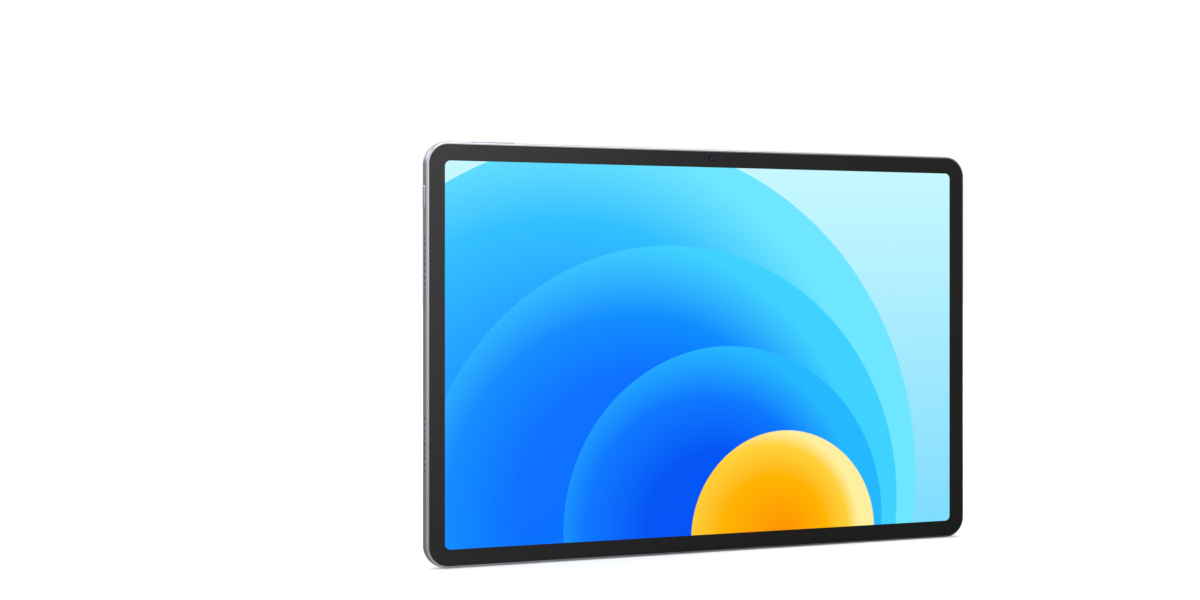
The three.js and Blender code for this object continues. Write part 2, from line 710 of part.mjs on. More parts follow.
function cameraBracket() {
  const half = CAMERA_BASE / 2;
  const tab = BOSS_DIAMETER / 2 + BRACKET_MARGIN;
  const shoulder = tab + BRACKET_SHOULDER;
  const outline = polygon([
    [-half, -bracketReach - tab],
    [shoulder, -bracketReach - tab],
    [shoulder, -half],
    [half, -tab],
    [bracketReach + tab, -tab],
    [bracketReach + tab, tab],
    [half, half],
    [-half, half],
  ]);
  const hole = SCREW_SHAFT_DIAMETER + 2 * SCREW_GAP;
  withHoles(outline, [holeAt(bracketReach, 0, hole), holeAt(0, -bracketReach, hole)]);
  return slabY(outline, bracketRearY - BRACKET_SHEET, bracketRearY, { steps: 5 });
}

add('rear_camera_plate', cameraPlate(), finish(0xaeacb8, 0.35, 1), [plateX, 0, plateV]);
add('rear_lens_ring', lensRing(), finish(0xc9c8cf, 0.2, 1), [lensX, 0, plateV]);
add('rear_lens_window', lensWindow(), finish(0x0b0c10, 0.05, 0), [lensX, 0, plateV]);
add('rear_camera_gasket', cameraGasket(), finish(0x202022, 0.9, 0), [lensX, 0, plateV]);
add('rear_camera_module', rearCameraModule(), blackPlastic(), [lensX, 0, plateV]);
add('rear_camera_bracket', cameraBracket(), steel(), [lensX, 0, plateV]);

// ---- Front camera and light sensor ----------------------------------------------

const frontHolderInner = FRONT_CAMERA_SIZE + 2 * SLIP;
const frontHolderOuter = frontHolderInner + 2 * FRONT_HOLDER_WALL;
const frontCameraV = wallV - FRONT_CAMERA_WALL_GAP - frontHolderOuter / 2;

function frontCameraModule() {
  const y0 = glassRearY + 2 * SLIP;
  const y1 = y0 + FRONT_CAMERA_DEPTH;
  const base = slabY(rectangle(FRONT_CAMERA_SIZE, FRONT_CAMERA_SIZE), y1 - FRONT_CAMERA_DEPTH / 2, y1);
  const barrel = slabY(circle(FRONT_CAMERA_SIZE - 2 * SLIP), y0, y1 - SLIP, { steps: 8 });
  return join([base, barrel]);
}

function frontCameraHolder() {
  const hole = rectangle(frontHolderInner, frontHolderInner);
  const frame = withHoles(rectangle(frontHolderOuter, frontHolderOuter), [hole]);
  return slabY(frame, glassRearY + 2 * SLIP, glassRearY + FRONT_CAMERA_DEPTH);
}

function lightSensor() {
  const y0 = glassRearY + BOND;
  const outline = roundedRectangle(LIGHT_SENSOR_SIZE, LIGHT_SENSOR_SIZE, CHIP_CORNER);
  return slabY(outline, y0, y0 + LIGHT_SENSOR_SIZE / 2, { steps: 1 });
}

add('front_camera_module', frontCameraModule(), blackPlastic(), [0, 0, frontCameraV]);
add('front_camera_holder', frontCameraHolder(), steel(), [0, 0, frontCameraV]);
add('light_sensor', lightSensor(), chipBlack(), [LIGHT_SENSOR_OFFSET, 0, frontCameraV]);

// ---- Main board ---------------------------------------------------------------

function mainBoard() {
  const outline = polygon([
    [BOARD_LEFT, boardBottomV],
    [boardStepX, boardBottomV],
    [boardStepX, boardStepV],
    [boardRight, boardStepV],
    [boardRight, boardTopV],
    [BOARD_LEFT, boardTopV],
  ]);
  const hole = SCREW_SHAFT_DIAMETER + 2 * SCREW_GAP;
  withHoles(outline, boardScrews.map(([x, v]) => holeAt(x, v, hole)));
  return slabY(outline, boardY, boardRearY, { steps: 5 });
}

const shieldX = BOARD_LEFT + SHIELD_FROM_LEFT;
const shieldV = (boardTopV + boardBottomV) / 2;
const shieldY = boardY - BOND - CHIP_THICKNESS - 2 * SLIP;

function chip(width, height) {
  const y1 = boardY - BOND;
  return slabY(roundedRectangle(width, height, CHIP_CORNER), y1 - CHIP_THICKNESS, y1, { steps: 1 });
}

function boardShield() {
  const can = slabY(rectangle(SHIELD_LENGTH, SHIELD_HEIGHT), shieldY - SHIELD_SHEET, boardY - BOND);
  const x = SHIELD_LENGTH / 2 - SHIELD_SHEET;
  const v = SHIELD_HEIGHT / 2 - SHIELD_SHEET;
  return cut(can, [box(-x, x, shieldY, boardY + OVERCUT, -v, v)]);
}

function graphiteSheet() {
  const width = SHIELD_LENGTH + 2 * GRAPHITE_OVERHANG;
  const height = SHIELD_HEIGHT - 2 * GRAPHITE_MARGIN;
  const y1 = shieldY - SHIELD_SHEET - BOND;
  return slabY(roundedRectangle(width, height, GRAPHITE_CORNER), y1 - FLEX_SHEET, y1, { steps: 2 });
}

add('main_board', mainBoard(), boardGreen());
for (const { name, width, height, offset } of CHIPS) {
  add(name, chip(width, height), chipBlack(), [shieldX + offset, 0, shieldV]);
}
add('board_shield', boardShield(), steel(), [shieldX, 0, shieldV]);
add('graphite_sheet', graphiteSheet(), finish(0x2b2c2e, 0.5, 0.3), [shieldX, 0, shieldV]);

// ---- Battery ------------------------------------------------------------------

const cellBottomV = -wallV + CELL_FROM_BOTTOM;
const cellTopV = cellBottomV + CELL_HEIGHT;

function batteryCell() {
  const y0 = trayRearY + SWELL_ROOM;
  const outline = roundedRectangle(CELL_WIDTH, CELL_HEIGHT, CELL_CORNER);
  return slabY(outline, y0, floorY - BOND, { edge: CELL_EDGE, steps: 2 });
}

const protectionV = (cellTopV + boardBottomV) / 2;
const batteryFlexX = boardStepX - BATTERY_FLEX_INSET;
const batteryFlexV = protectionV + BATTERY_FLEX_REACH / 2 - BATTERY_FLEX_OVERLAP;

function protectionBoard() {
  return slabY(rectangle(PROTECTION_LENGTH, PROTECTION_HEIGHT), boardY, boardRearY);
}

function batteryFlex() {
  const y1 = boardY - BOND;
  return slabY(rectangle(BATTERY_FLEX_WIDTH, BATTERY_FLEX_REACH), y1 - FLEX_SHEET, y1);
}

const cellX = (CELL_WIDTH + CELL_SPACING) / 2;
const cellV = (cellBottomV + cellTopV) / 2;
add('battery_cell_left', batteryCell(), finish(0x26282b, 0.4, 0.1), [-cellX, 0, cellV]);
add('battery_cell_right', batteryCell(), finish(0x26282b, 0.4, 0.1), [cellX, 0, cellV]);
add('battery_protection_board', protectionBoard(), boardGreen(), [0, 0, protectionV]);
add('battery_flex', batteryFlex(), flexAmber(), [batteryFlexX, 0, batteryFlexV]);

// ---- USB-C socket and its board --------------------------------------------------

const usbBoardRight = usbRearX - SLIP;
const usbBoardLeft = usbBoardRight - USB_BOARD_LENGTH;
const usbShellLength = usbEndX - usbRearX;
const usbInnerWidth = USB_SHELL_WIDTH - 2 * USB_SHELL_WALL;
const usbInnerHeight = USB_SHELL_HEIGHT - 2 * USB_SHELL_WALL;

function usbShell() {
  const outer = slabX(stadium(USB_SHELL_WIDTH, USB_SHELL_HEIGHT, true), 0, usbShellLength);
  const inner = slabX(stadium(usbInnerWidth, usbInnerHeight, true), -OVERCUT, usbShellLength + OVERCUT);
  return cut(outer, [inner]);
}

function usbContactBlock() {
  const width = usbInnerWidth - 2 * BOND;
  const height = usbInnerHeight - 2 * BOND;
  const base = slabX(stadium(width, height, true), 0, USB_BASE);
  const end = usbShellLength - USB_TONGUE_SINK;
  const section = rectangle(USB_TONGUE_THICKNESS, USB_TONGUE_WIDTH);
  const tongue = slabX(section, USB_BASE / 2, end, { edge: USB_TONGUE_EDGE });
  return join([base, tongue]);
}

function usbBoard() {
  return slabY(rectangle(USB_BOARD_LENGTH, USB_BOARD_HEIGHT), boardY, boardRearY);
}

// A strap over the socket with a foot on a boss at each end.
function usbBracket() {
  const strap = SLIP - usbY + USB_SHELL_HEIGHT / 2;
  const sheet = BRACKET_SHEET;
  const leg = USB_SHELL_WIDTH / 2 + SLIP;
  const foot = usbFootV + BOSS_DIAMETER / 2;
  const y1 = usbFootRearY;
  const outline = polygon([
    [-strap - sheet, -leg - sheet],
    [y1 - sheet, -leg - sheet],
    [y1 - sheet, -foot],
    [y1, -foot],
    [y1, -leg],
    [-strap, -leg],
    [-strap, leg],
    [y1, leg],
    [y1, foot],
    [y1 - sheet, foot],
    [y1 - sheet, leg + sheet],
    [-strap - sheet, leg + sheet],
  ]);
  const width = wallX - usbRearX - 4 * SLIP;
  const hole = circle(SCREW_SHAFT_DIAMETER + 2 * SCREW_GAP);
  const holes = [-usbFootV, usbFootV].map((v) => {
    return slabY(hole, y1 - OVERCUT, y1 + OVERCUT, { steps: 5 }).translate(0, 0, v);
  });
  return cut(slabX(outline, -width / 2, width / 2), holes);
}

// An L-shaped ribbon from the arm of the main board down to the USB board.
function boardLinkFlex() {
  const width = LINK_FLEX_WIDTH;
  const x1 = boardRight - LINK_FLEX_INSET;
  const x0 = x1 - width;
  const footX = usbBoardLeft + LINK_FLEX_OVERLAP;
  const headV = boardStepV + LINK_FLEX_OVERLAP;
  const y1 = boardY - BOND;
  const outline = polygon([
    [x0, -width / 2],
    [footX, -width / 2],
    [footX, width / 2],
    [x1, width / 2],
    [x1, headV],
    [x0, headV],
  ]);
  return slabY(outline, y1 - FLEX_SHEET, y1);
}

add('usb_board', usbBoard(), boardGreen(), [(usbBoardLeft + usbBoardRight) / 2, 0, 0]);
add('usb_c_shell', usbShell(), steel(), [usbRearX, usbY, 0]);
add('usb_c_contact_block', usbContactBlock(), blackPlastic(), [usbRearX, usbY, 0]);
add('usb_bracket', usbBracket(), steel(), [usbBracketX, 0, 0]);
add('board_link_flex', boardLinkFlex(), flexAmber());

// ---- Speakers -------------------------------------------------------------------

const meshOuterX = wallX - SLIP;
const speakerOuterX = meshOuterX - SPEAKER_MESH - SLIP;
const slotRowLength = (SLOT_COUNT - 1) * SLOT_PITCH + SLOT_LENGTH;

// Drawn for the right side: the port opens towards +X.
function speakerBox() {
  const y0 = trayRearY + 2 * SLIP;
  const y1 = floorY - BOND;
  const tilt = FLOOR_FILLET; // the outer rear edge clears the fillet of the shell
  const half = SPEAKER_WIDTH / 2;
  const section = polygon([
    [-half, y0],
    [half, y0],
    [half, y1 - tilt],
    [half - tilt, y1],
    [-half, y1],
  ]);
  const body = slabZ(section, -SPEAKER_LENGTH / 2, SPEAKER_LENGTH / 2);
  const reach = slotRowLength / 2;
  const port = box(half - SPEAKER_PORT_DEPTH, half + OVERCUT, 0, SLOT_WIDTH, -reach, reach);
  const wellLength = SPEAKER_LENGTH - 2 * SPEAKER_RIM_LENGTH;
  const wellWidth = SPEAKER_WIDTH - 2 * SPEAKER_RIM_WIDTH;
  const well = slabY(stadium(wellLength, wellWidth, true), y0 - OVERCUT, y0 + SPEAKER_WELL, { steps: 5 });
  const domeOutline = stadium(wellLength - 2 * SPEAKER_SURROUND, wellWidth - 2 * SPEAKER_SURROUND, true);
  const domeY = y0 + SPEAKER_DOME_SINK;
  const dome = slabY(domeOutline, domeY, domeY + SPEAKER_DOME_DEPTH, { edge: SPEAKER_DOME_EDGE });
  const [movedWell, movedDome] = [well, dome].map((piece) => piece.translate(-SPEAKER_CONE_SHIFT, 0, 0));
  return join([cut(body, [port, movedWell]), movedDome]);
}

function speakerMesh() {
  const section = stadium(slotRowLength + 2 * MESH_END_OVERLAP, SLOT_WIDTH + 2 * MESH_SIDE_OVERLAP, true);
  return slabX(section, -SPEAKER_MESH / 2, SPEAKER_MESH / 2, { steps: 3 });
}

for (const [side, sideName] of [[-1, 'left'], [1, 'right']]) {
  for (const [row, rowName] of [[1, 'upper'], [-1, 'lower']]) {
    const v = row * SLOT_ROW_OFFSET;
    const turned = speakerBox().rotateY(side < 0 ? Math.PI : 0);
    const boxX = side * (speakerOuterX - SPEAKER_WIDTH / 2);
    const meshX = side * (meshOuterX - SPEAKER_MESH / 2);
    add(`speaker_${rowName}_${sideName}`, turned, blackPlastic(), [boxX, 0, v]);
    add(`speaker_mesh_${rowName}_${sideName}`, speakerMesh(), finish(0x222326, 0.6, 0.4), [meshX, 0, v]);
  }
}

// ---- Keys and their switches ------------------------------------------------------

const powerFlangeX = -wallX + BOND;
const powerNubX = powerFlangeX + KEY_FLANGE_THICKNESS + KEY_NUB;
const powerSwitchX = powerNubX + POWER_TRAVEL + SWITCH_FREE_GAP;
const keyFlangeWidth = KEY_WIDTH + 2 * KEY_FLANGE_SPREAD;

function powerKey() {
  const outer = -halfWidth - POWER_KEY_PROUD;
  const inner = powerFlangeX + KEY_FLANGE_THICKNESS;
  const stem = slabX(stadium(POWER_KEY_LENGTH, KEY_WIDTH, true), outer, inner, { edge: KEY_EDGE });
  const flangeLength = POWER_KEY_LENGTH + 2 * KEY_FLANGE_SPREAD;
  const flange = slabX(rectangle(keyFlangeWidth, flangeLength), powerFlangeX, inner);
  const nub = slabX(circle(KEY_NUB_DIAMETER), powerFlangeX + BOND, powerNubX, { steps: 5 });
  return join([stem, flange, nub]);
}

const volumeTiltSlope = Math.tan((VOLUME_TILT * Math.PI) / 180);
const volumeTiltReach = volumeTiltSlope * (VOLUME_KEY_LENGTH / 2 + KEY_FLANGE_SPREAD);
const volumeFlangeV = wallV - volumeTiltReach - SWITCH_FREE_GAP; // outer face of the flange
const volumeNubV = volumeFlangeV - KEY_FLANGE_THICKNESS - KEY_NUB;
const volumeNubDrop = volumeTiltSlope * (VOLUME_SWITCH_SPACING + DOME_DIAMETER) / 2;
const volumeSwitchV = volumeNubV - volumeNubDrop - SWITCH_FREE_GAP;

// Drawn about the middle of the key, where it rocks.
function volumeKey() {
  const outer = halfHeight + VOLUME_KEY_PROUD;
  const inner = volumeFlangeV - KEY_FLANGE_THICKNESS;
  const stem = slabZ(stadium(VOLUME_KEY_LENGTH, KEY_WIDTH), inner, outer, { edge: KEY_EDGE });
  const flangeLength = VOLUME_KEY_LENGTH + 2 * KEY_FLANGE_SPREAD;
  const flange = slabZ(rectangle(flangeLength, keyFlangeWidth), inner, volumeFlangeV);
  const nubs = [-1, 1].map((side) => {
    const nub = slabZ(circle(KEY_NUB_DIAMETER), volumeNubV, volumeFlangeV - BOND, { steps: 5 });
    return nub.translate((side * VOLUME_SWITCH_SPACING) / 2, 0, 0);
  });
  return join([stem, flange, ...nubs]);
}

// A dome switch with its dome towards +Z and its face at z = 0.
function domeSwitch() {
  const base = slabZ(rectangle(SWITCH_LENGTH, SWITCH_WIDTH), -SWITCH_THICKNESS, -SWITCH_THICKNESS / 3);
  const dome = slabZ(circle(DOME_DIAMETER), -SWITCH_THICKNESS / 2, 0, { edge: DOME_EDGE, steps: 5 });
  return join([base, dome]);
}

// A U-shaped channel behind a key: its back carries the switches and its legs meet the wall.
function keyChannel(keyLength, depth) {
  const sheet = BRACKET_SHEET;
  const half = keyLength / 2 + KEY_FLANGE_SPREAD + CHANNEL_MARGIN;
  const outline = polygon([
    [-half, 0],
    [-half, -depth],
    [half, -depth],
    [half, 0],
    [half - sheet, 0],
    [half - sheet, -depth + sheet],
    [-half + sheet, -depth + sheet],
    [-half + sheet, 0],
  ]);
  return slabY(outline, -keyFlangeWidth / 2, keyFlangeWidth / 2);
}

function powerBracket() {
  const depth = powerSwitchX + SWITCH_THICKNESS + BOND + BRACKET_SHEET + wallX - BOND;
  return keyChannel(POWER_KEY_LENGTH, depth).rotateY(-Math.PI / 2);
}

function volumeBracket() {
  const depth = wallV - BOND - (volumeSwitchV - SWITCH_THICKNESS - BOND - BRACKET_SHEET);
  const back = -depth + BRACKET_SHEET / 2;
  const top = volumeFlangeV - KEY_FLANGE_THICKNESS - SWITCH_FREE_GAP - (wallV - BOND);
  const ridge = polygon([
    [-RIDGE_FOOT / 2, back],
    [RIDGE_FOOT / 2, back],
    [RIDGE_CREST / 2, top],
    [-RIDGE_CREST / 2, top],
  ]);
  return join([keyChannel(VOLUME_KEY_LENGTH, depth), slabY(ridge, -RIDGE_LENGTH / 2, RIDGE_LENGTH / 2)]);
}

const keySatin = () => finish(0xb4b2be, 0.3, 1);
const upX = volumeX - VOLUME_SWITCH_SPACING / 2;
const downX = volumeX + VOLUME_SWITCH_SPACING / 2;
add('power_key', powerKey(), keySatin(), [0, 0, powerV]);
add('power_switch', domeSwitch().rotateY(-Math.PI / 2), steel(), [powerSwitchX, 0, powerV]);
add('power_key_bracket', powerBracket(), steel(), [-wallX + BOND, 0, powerV]);
add('volume_key', volumeKey(), keySatin(), [volumeX, 0, 0]);
add('volume_up_switch', domeSwitch(), steel(), [upX, 0, volumeSwitchV]);
add('volume_down_switch', domeSwitch(), steel(), [downX, 0, volumeSwitchV]);
add('volume_key_bracket', volumeBracket(), steel(), [volumeX, 0, wallV - BOND]);

// ---- Microphones and antennas -------------------------------------------------------

const antennaV = (wallV + displayHalfHeight) / 2;

function microphone() {
  return slabZ(roundedRectangle(MIC_LENGTH, MIC_WIDTH, CHIP_CORNER), -MIC_THICKNESS, 0, { steps: 1 });
}

function antenna() {
  const outline = roundedRectangle(ANTENNA_LENGTH, ANTENNA_HEIGHT, ANTENNA_CORNER);
  return slabY(outline, ledgeY, ledgeY + ANTENNA_DEPTH, { steps: 1 });
}

add('microphone_top', microphone(), steel(), [MIC_TOP_X, 0, wallV - SLIP]);
add('microphone_side', microphone().rotateY(Math.PI / 2), steel(), [wallX - SLIP, 0, MIC_SIDE_Z]);
add('wifi_antenna_left', antenna(), flexAmber(), [ANTENNA_LEFT_X, 0, antennaV]);
add('wifi_antenna_right', antenna(), flexAmber(), [ANTENNA_RIGHT_X, 0, antennaV]);

// ---- Screws ---------------------------------------------------------------------------

// The head points to -Y and its underside is at y = 0.
function screw(length) {
  const head = SCREW_HEAD_DIAMETER / 2;
  const shaft = SCREW_SHAFT_DIAMETER / 2;
  const profile = [
    [0, -SCREW_HEAD_THICKNESS],
    [head, -SCREW_HEAD_THICKNESS],
    [head, 0],
    [shaft, 0],
    [shaft, length],
    [0, length],
  ];
  return latheY(profile, 12);
}

function addScrews(prefix, places, seatY) {
  const length = floorY - seatY - 2 * SLIP;
  places.forEach(([x, v], k) => {
    add(`${prefix}_${k + 1}`, screw(length), steel(), [x, seatY, v]);
  });
}

addScrews('board_screw', boardScrews, boardY - BOND);
addScrews('camera_screw', cameraScrews, bracketRearY - BRACKET_SHEET - BOND);
addScrews('usb_screw', usbScrews, usbFootRearY - BRACKET_SHEET - BOND);

export default tablet;
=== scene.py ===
"""Looks of a slim metal tablet computer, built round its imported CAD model.

Metres, with the screen facing -Y, +Z up and the lower edge of the body at z = 0.
Lengths written as a number times MM are in millimetres.
"""

import json
import math

import bmesh
import bpy
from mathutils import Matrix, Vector


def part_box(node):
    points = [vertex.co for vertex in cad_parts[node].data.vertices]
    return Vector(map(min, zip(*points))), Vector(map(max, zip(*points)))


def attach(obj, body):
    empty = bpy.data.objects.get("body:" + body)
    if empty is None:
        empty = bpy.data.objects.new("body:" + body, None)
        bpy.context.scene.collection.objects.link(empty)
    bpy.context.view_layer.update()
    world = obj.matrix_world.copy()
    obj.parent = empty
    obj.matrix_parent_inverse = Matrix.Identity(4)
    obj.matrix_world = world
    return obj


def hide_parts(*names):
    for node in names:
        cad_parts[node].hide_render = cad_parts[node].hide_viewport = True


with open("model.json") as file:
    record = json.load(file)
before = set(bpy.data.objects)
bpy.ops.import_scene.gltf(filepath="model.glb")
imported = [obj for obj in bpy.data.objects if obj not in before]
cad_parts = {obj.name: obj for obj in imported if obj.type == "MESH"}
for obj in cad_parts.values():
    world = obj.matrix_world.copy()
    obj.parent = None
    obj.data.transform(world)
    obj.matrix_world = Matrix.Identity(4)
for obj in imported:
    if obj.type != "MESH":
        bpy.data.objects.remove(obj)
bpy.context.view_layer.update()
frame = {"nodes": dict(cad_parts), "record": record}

MM = 0.001


# ---- Places, from the CAD nodes -----------------------------------------------------

def middle(name):
    """The middle of a CAD node's box, as x, y and z."""
    low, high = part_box(name)
    return [(low[axis] + high[axis]) / 2 for axis in range(3)]


cover_low, cover_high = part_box("rear_cover")
_, glass_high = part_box("cover_glass")
plate_low, plate_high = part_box("rear_camera_plate")
ring_low, ring_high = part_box("rear_lens_ring")
window_low, window_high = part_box("rear_lens_window")
power_low, power_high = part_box("power_key")
volume_low, volume_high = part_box("volume_key")
usb_low, usb_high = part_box("usb_c_shell")

front_camera_x, _, front_camera_z = middle("front_camera_module")
sensor_x, _, _ = middle("light_sensor")
plate_x, _, _ = middle("rear_camera_plate")
lens_x, _, lens_z = middle("rear_lens_ring")
_, _, power_z = middle("power_key")
volume_x, _, _ = middle("volume_key")
_, usb_y, usb_z = middle("usb_c_shell")
top_mic_x, _, _ = middle("microphone_top")
_, _, side_mic_z = middle("microphone_side")

ring_radius = (ring_high.x - ring_low.x) / 2
window_radius = (window_high.x - window_low.x) / 2
window_top = window_high.y
usb_length = usb_high.z - usb_low.z
usb_width = usb_high.y - usb_low.y

HALF_WIDTH = cover_high.x
TOP_Z = cover_high.z
MIDDLE_Z = (cover_low.z + TOP_Z) / 2
HALF_HEIGHT = TOP_Z - MIDDLE_Z
FRONT_Y = cover_low.y
REAR_Y = cover_high.y

# ---- Sizes of the CAD that the frame doesn't hold -----------------------------------

CORNER_RADIUS = 9.5 * MM
REAR_EDGE_RADIUS = 2 * MM
FRONT_EDGE_RADIUS = 3.6 * MM
FRONT_EDGE_DEPTH = 1.8 * MM
LIP_CHAMFER = 0.12 * MM
SIDE_WALL = 2 * MM
REAR_WALL = 0.85 * MM
FLOOR_FILLET = 0.8 * MM
GLASS_INSET = 1.18 * MM
GLASS_GAP = 0.08 * MM
GLASS_RIM = 0.2 * MM
LEDGE_DEPTH = 0.91 * MM

PICTURE_WIDTH = 245 * MM
PICTURE_HEIGHT = 160.9 * MM

SLOT_COUNT = 9
SLOT_PITCH = 2.725 * MM
SLOT_LENGTH = 1.7 * MM
SLOT_WIDTH = 1.2 * MM
SLOT_ROW_OFFSET = 37.3 * MM

KEY_WIDTH = 2 * MM
KEY_GAP = 0.12 * MM
KEY_EDGE = 0.3 * MM
POWER_LENGTH = 9.7 * MM
VOLUME_LENGTH = 19.6 * MM
FLANGE_SPREAD = 0.6 * MM
FLANGE_THICKNESS = 0.5 * MM
NUB_LENGTH = 0.5 * MM
NUB_DIAMETER = 1.6 * MM
VOLUME_NUB_SPACING = 13 * MM

PLATE_LENGTH = 29.5 * MM
PLATE_WIDTH = 16 * MM
PLATE_CHAMFER = 0.4 * MM
PLATE_GAP = 0.1 * MM
SEAT_GAP = 0.03 * MM
CAMERA_HOLE = 7.8 * MM
MIC_HOLE = 0.9 * MM

RING_WALL = 0.9 * MM
USB_GAP = 0.1 * MM
USB_WALL = 0.28 * MM

# ---- Sizes of the finer meshes only -------------------------------------------------

PICTURE_CORNER = 2.4 * MM
SLOT_FLARE = 0.12 * MM
USB_FLARE = 0.15 * MM
USB_ROUNDING = 0.08 * MM

RING_BEVEL = 0.22 * MM
RING_BEVEL_MIDDLE = 0.3  # share of the bevel that its middle point stays back
WINDOW_BEVEL = 0.08 * MM
MASK_RIM = 0.45 * MM
# The mask inside its flat rim, from the bowl to the step down to the lens. Each row is a radius
# and a depth below the window's face, in millimetres.
MASK_STEPS = ((2.35, 0.28), (2.2, 0.16), (2.0, 0.16), (1.75, 0.42))
LENS_REACH = 1.7 * MM
LENS_SINK = 0.5 * MM
LENS_CROWN = 0.26 * MM
LENS_CURVE = 0.94  # share of a half ellipse that the dome uses
LENS_TIP = 0.02 * MM

CUT_PAST = 1 * MM  # how far a cutter goes past the surface that it opens
CUT_DEPTH = 3 * MM  # how deep a cutter goes into a side wall

# Steps of each curve
CORNER_STEPS = 24
REAR_STEPS = 12
FRONT_STEPS = 8
FILLET_STEPS = 5
GLASS_STEPS = 5
KEY_STEPS = 6
STADIUM_STEPS = 16
SLOT_STEPS = 10
PLATE_STEPS = 40
MIC_STEPS = 20
NUB_STEPS = 24
CAMERA_HOLE_STEPS = 64
LATHE_STEPS = 96
LENS_STEPS = 10

# Edges over these angles, in degrees, are kept crisp
SHARP_ANGLE = 25
GLASS_SHARP_ANGLE = 40
LENS_SHARP_ANGLE = 50


# ---- Mesh helpers -------------------------------------------------------------------

def angles(steps, sweep=math.pi / 2):
    """Angles from 0 up to a sweep, evenly spaced."""
    return [step / steps * sweep for step in range(steps + 1)]


def outline(width, height, radius):
    """Points (u, v) round a rounded rectangle about 0, 0, anticlockwise."""
    points = []
    for quarter, (su, sv) in enumerate(((1, 1), (-1, 1), (-1, -1), (1, -1))):
        for step in range(CORNER_STEPS + 1):
            angle = (quarter + step / CORNER_STEPS) * math.pi / 2
            points.append((
                su * (width / 2 - radius) + radius * math.cos(angle),
                sv * (height / 2 - radius) + radius * math.sin(angle),
            ))
    return points


def body_loop(inset, y):
    """A loop round the body at one depth, in from its widest outline."""
    points = outline(
        2 * (HALF_WIDTH - inset), 2 * (HALF_HEIGHT - inset), CORNER_RADIUS - inset
    )
    return [Vector((u, y, MIDDLE_Z + v)) for u, v in points]


def stadium(length, width, steps=STADIUM_STEPS):
    """Points (u, v) round a stadium that is long along u, anticlockwise."""
    reach = (length - width) / 2
    points = []
    for side, start in ((1, -math.pi / 2), (-1, math.pi / 2)):
        for angle in angles(steps, math.pi):
            points.append((
                side * reach + width / 2 * math.cos(start + angle),
                width / 2 * math.sin(start + angle),
            ))
    return points


def circle(diameter, steps):
    """Points (u, v) round a circle about 0, 0, anticlockwise."""
    return [
        (
            diameter / 2 * math.cos(2 * math.pi * k / steps),
            diameter / 2 * math.sin(2 * math.pi * k / steps),
        )
        for k in range(steps)
    ]


def on_x(points, x, z, y=0.0):
    """An outline whose u runs along Z, laid in the plane at x."""
    return [Vector((x, y - v, z + u)) for u, v in points]


def on_y(points, x, y, z):
    """An outline whose u runs along X, laid in the plane at y."""
    return [Vector((x + u, y, z + v)) for u, v in points]


def on_z(points, x, z):
    """An outline whose u runs along X, laid in the plane at z."""
    return [Vector((x + u, v, z)) for u, v in points]


def add_loops(bm, loops, closed=False):
    """Quads between loops of equal count, with an end face at each end or joined up."""
    made = [[bm.verts.new(point) for point in loop] for loop in loops]
    pairs = list(zip(made, made[1:]))
    if closed:
        pairs.append((made[-1], made[0]))
    for first, second in pairs:
        for k in range(len(first)):
            following = (k + 1) % len(first)
            bm.faces.new((first[k], first[following], second[following], second[k]))
    if not closed:
        bm.faces.new(made[0])
        bm.faces.new(reversed(made[-1]))
    return made


def to_object(name, bm, sharp=SHARP_ANGLE):
    """A shaded object from a bmesh, with edges over the sharp angle, in degrees, kept crisp."""
    bmesh.ops.recalc_face_normals(bm, faces=bm.faces)
    mesh = bpy.data.meshes.new(name)
    bm.to_mesh(mesh)
    bm.free()
    mesh.shade_smooth()
    mesh.set_sharp_from_angle(angle=math.radians(sharp))
    made = bpy.data.objects.new(name, mesh)
    bpy.context.scene.collection.objects.link(made)
    return made


def solid(name, *loop_sets, closed=False, sharp=SHARP_ANGLE):
    """One object of lofted solids, each through its own set of loops."""
    bm = bmesh.new()
    for loops in loop_sets:
        add_loops(bm, loops, closed)
    return to_object(name, bm, sharp)


def lathe(name, profile, closed=False, sharp=SHARP_ANGLE):
    """A piece turned about the lens axis, along Y. The profile is (radius, y)."""
    loops = [on_y(circle(2 * radius, LATHE_STEPS), lens_x, y, lens_z) for radius, y in profile]
    return solid(name, loops, closed=closed, sharp=sharp)


def boolean(target, cutter, operation):
    """Applies a boolean and removes the cutter."""
    modifier = target.modifiers.new("cut", "BOOLEAN")
    modifier.operation = operation
    modifier.solver = "EXACT"
    modifier.object = cutter
    graph = bpy.context.evaluated_depsgraph_get()
    done = bpy.data.meshes.new_from_object(target.evaluated_get(graph))
    target.modifiers.clear()
    target.data = done
    bpy.data.objects.remove(cutter)


def piece(made, body, replaced=()):
    """Rides an object on its body and hides the nodes it replaces."""
    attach(made, body)
    if replaced:
        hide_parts(*replaced)


def clothe(made, *materials):
    """Gives an object its materials."""
    if made.data.materials:  # clearing also resets the faces, so it is only done where needed
        made.data.materials.clear()
    for material in materials:
        made.data.materials.append(material)
    return made


# ---- Node helpers -------------------------------------------------------------------

def feed(tree, socket, value):
    """Links an output to a socket, or sets the socket's own value."""
    if isinstance(value, bpy.types.NodeSocket):
        tree.links.new(value, socket)
    else:
        socket.default_value = value


def node(tree, kind, inputs=None, **settings):
    """A shader node with its settings, and its inputs by name or number."""
    made = tree.nodes.new("ShaderNode" + kind)
    for key, value in settings.items():
        setattr(made, key, value)
    for key, value in (inputs or {}).items():
        feed(tree, made.inputs[key], value)
    return made


def maths(tree, operation, a, b=0.0, c=0.0):
    """The result of a Math node."""
    return node(tree, "Math", {0: a, 1: b, 2: c}, operation=operation).outputs[0]


def smooth_range(tree, value, low, high, to_low=0.0, to_high=1.0):
    """A value mapped from one range to another, easing in and out, and held at both ends."""
    inputs = {
        "Value": value, "From Min": low, "From Max": high, "To Min": to_low, "To Max": to_high,
    }
    made = node(tree, "MapRange", inputs, interpolation_type="SMOOTHSTEP")
    return made.outputs[0]


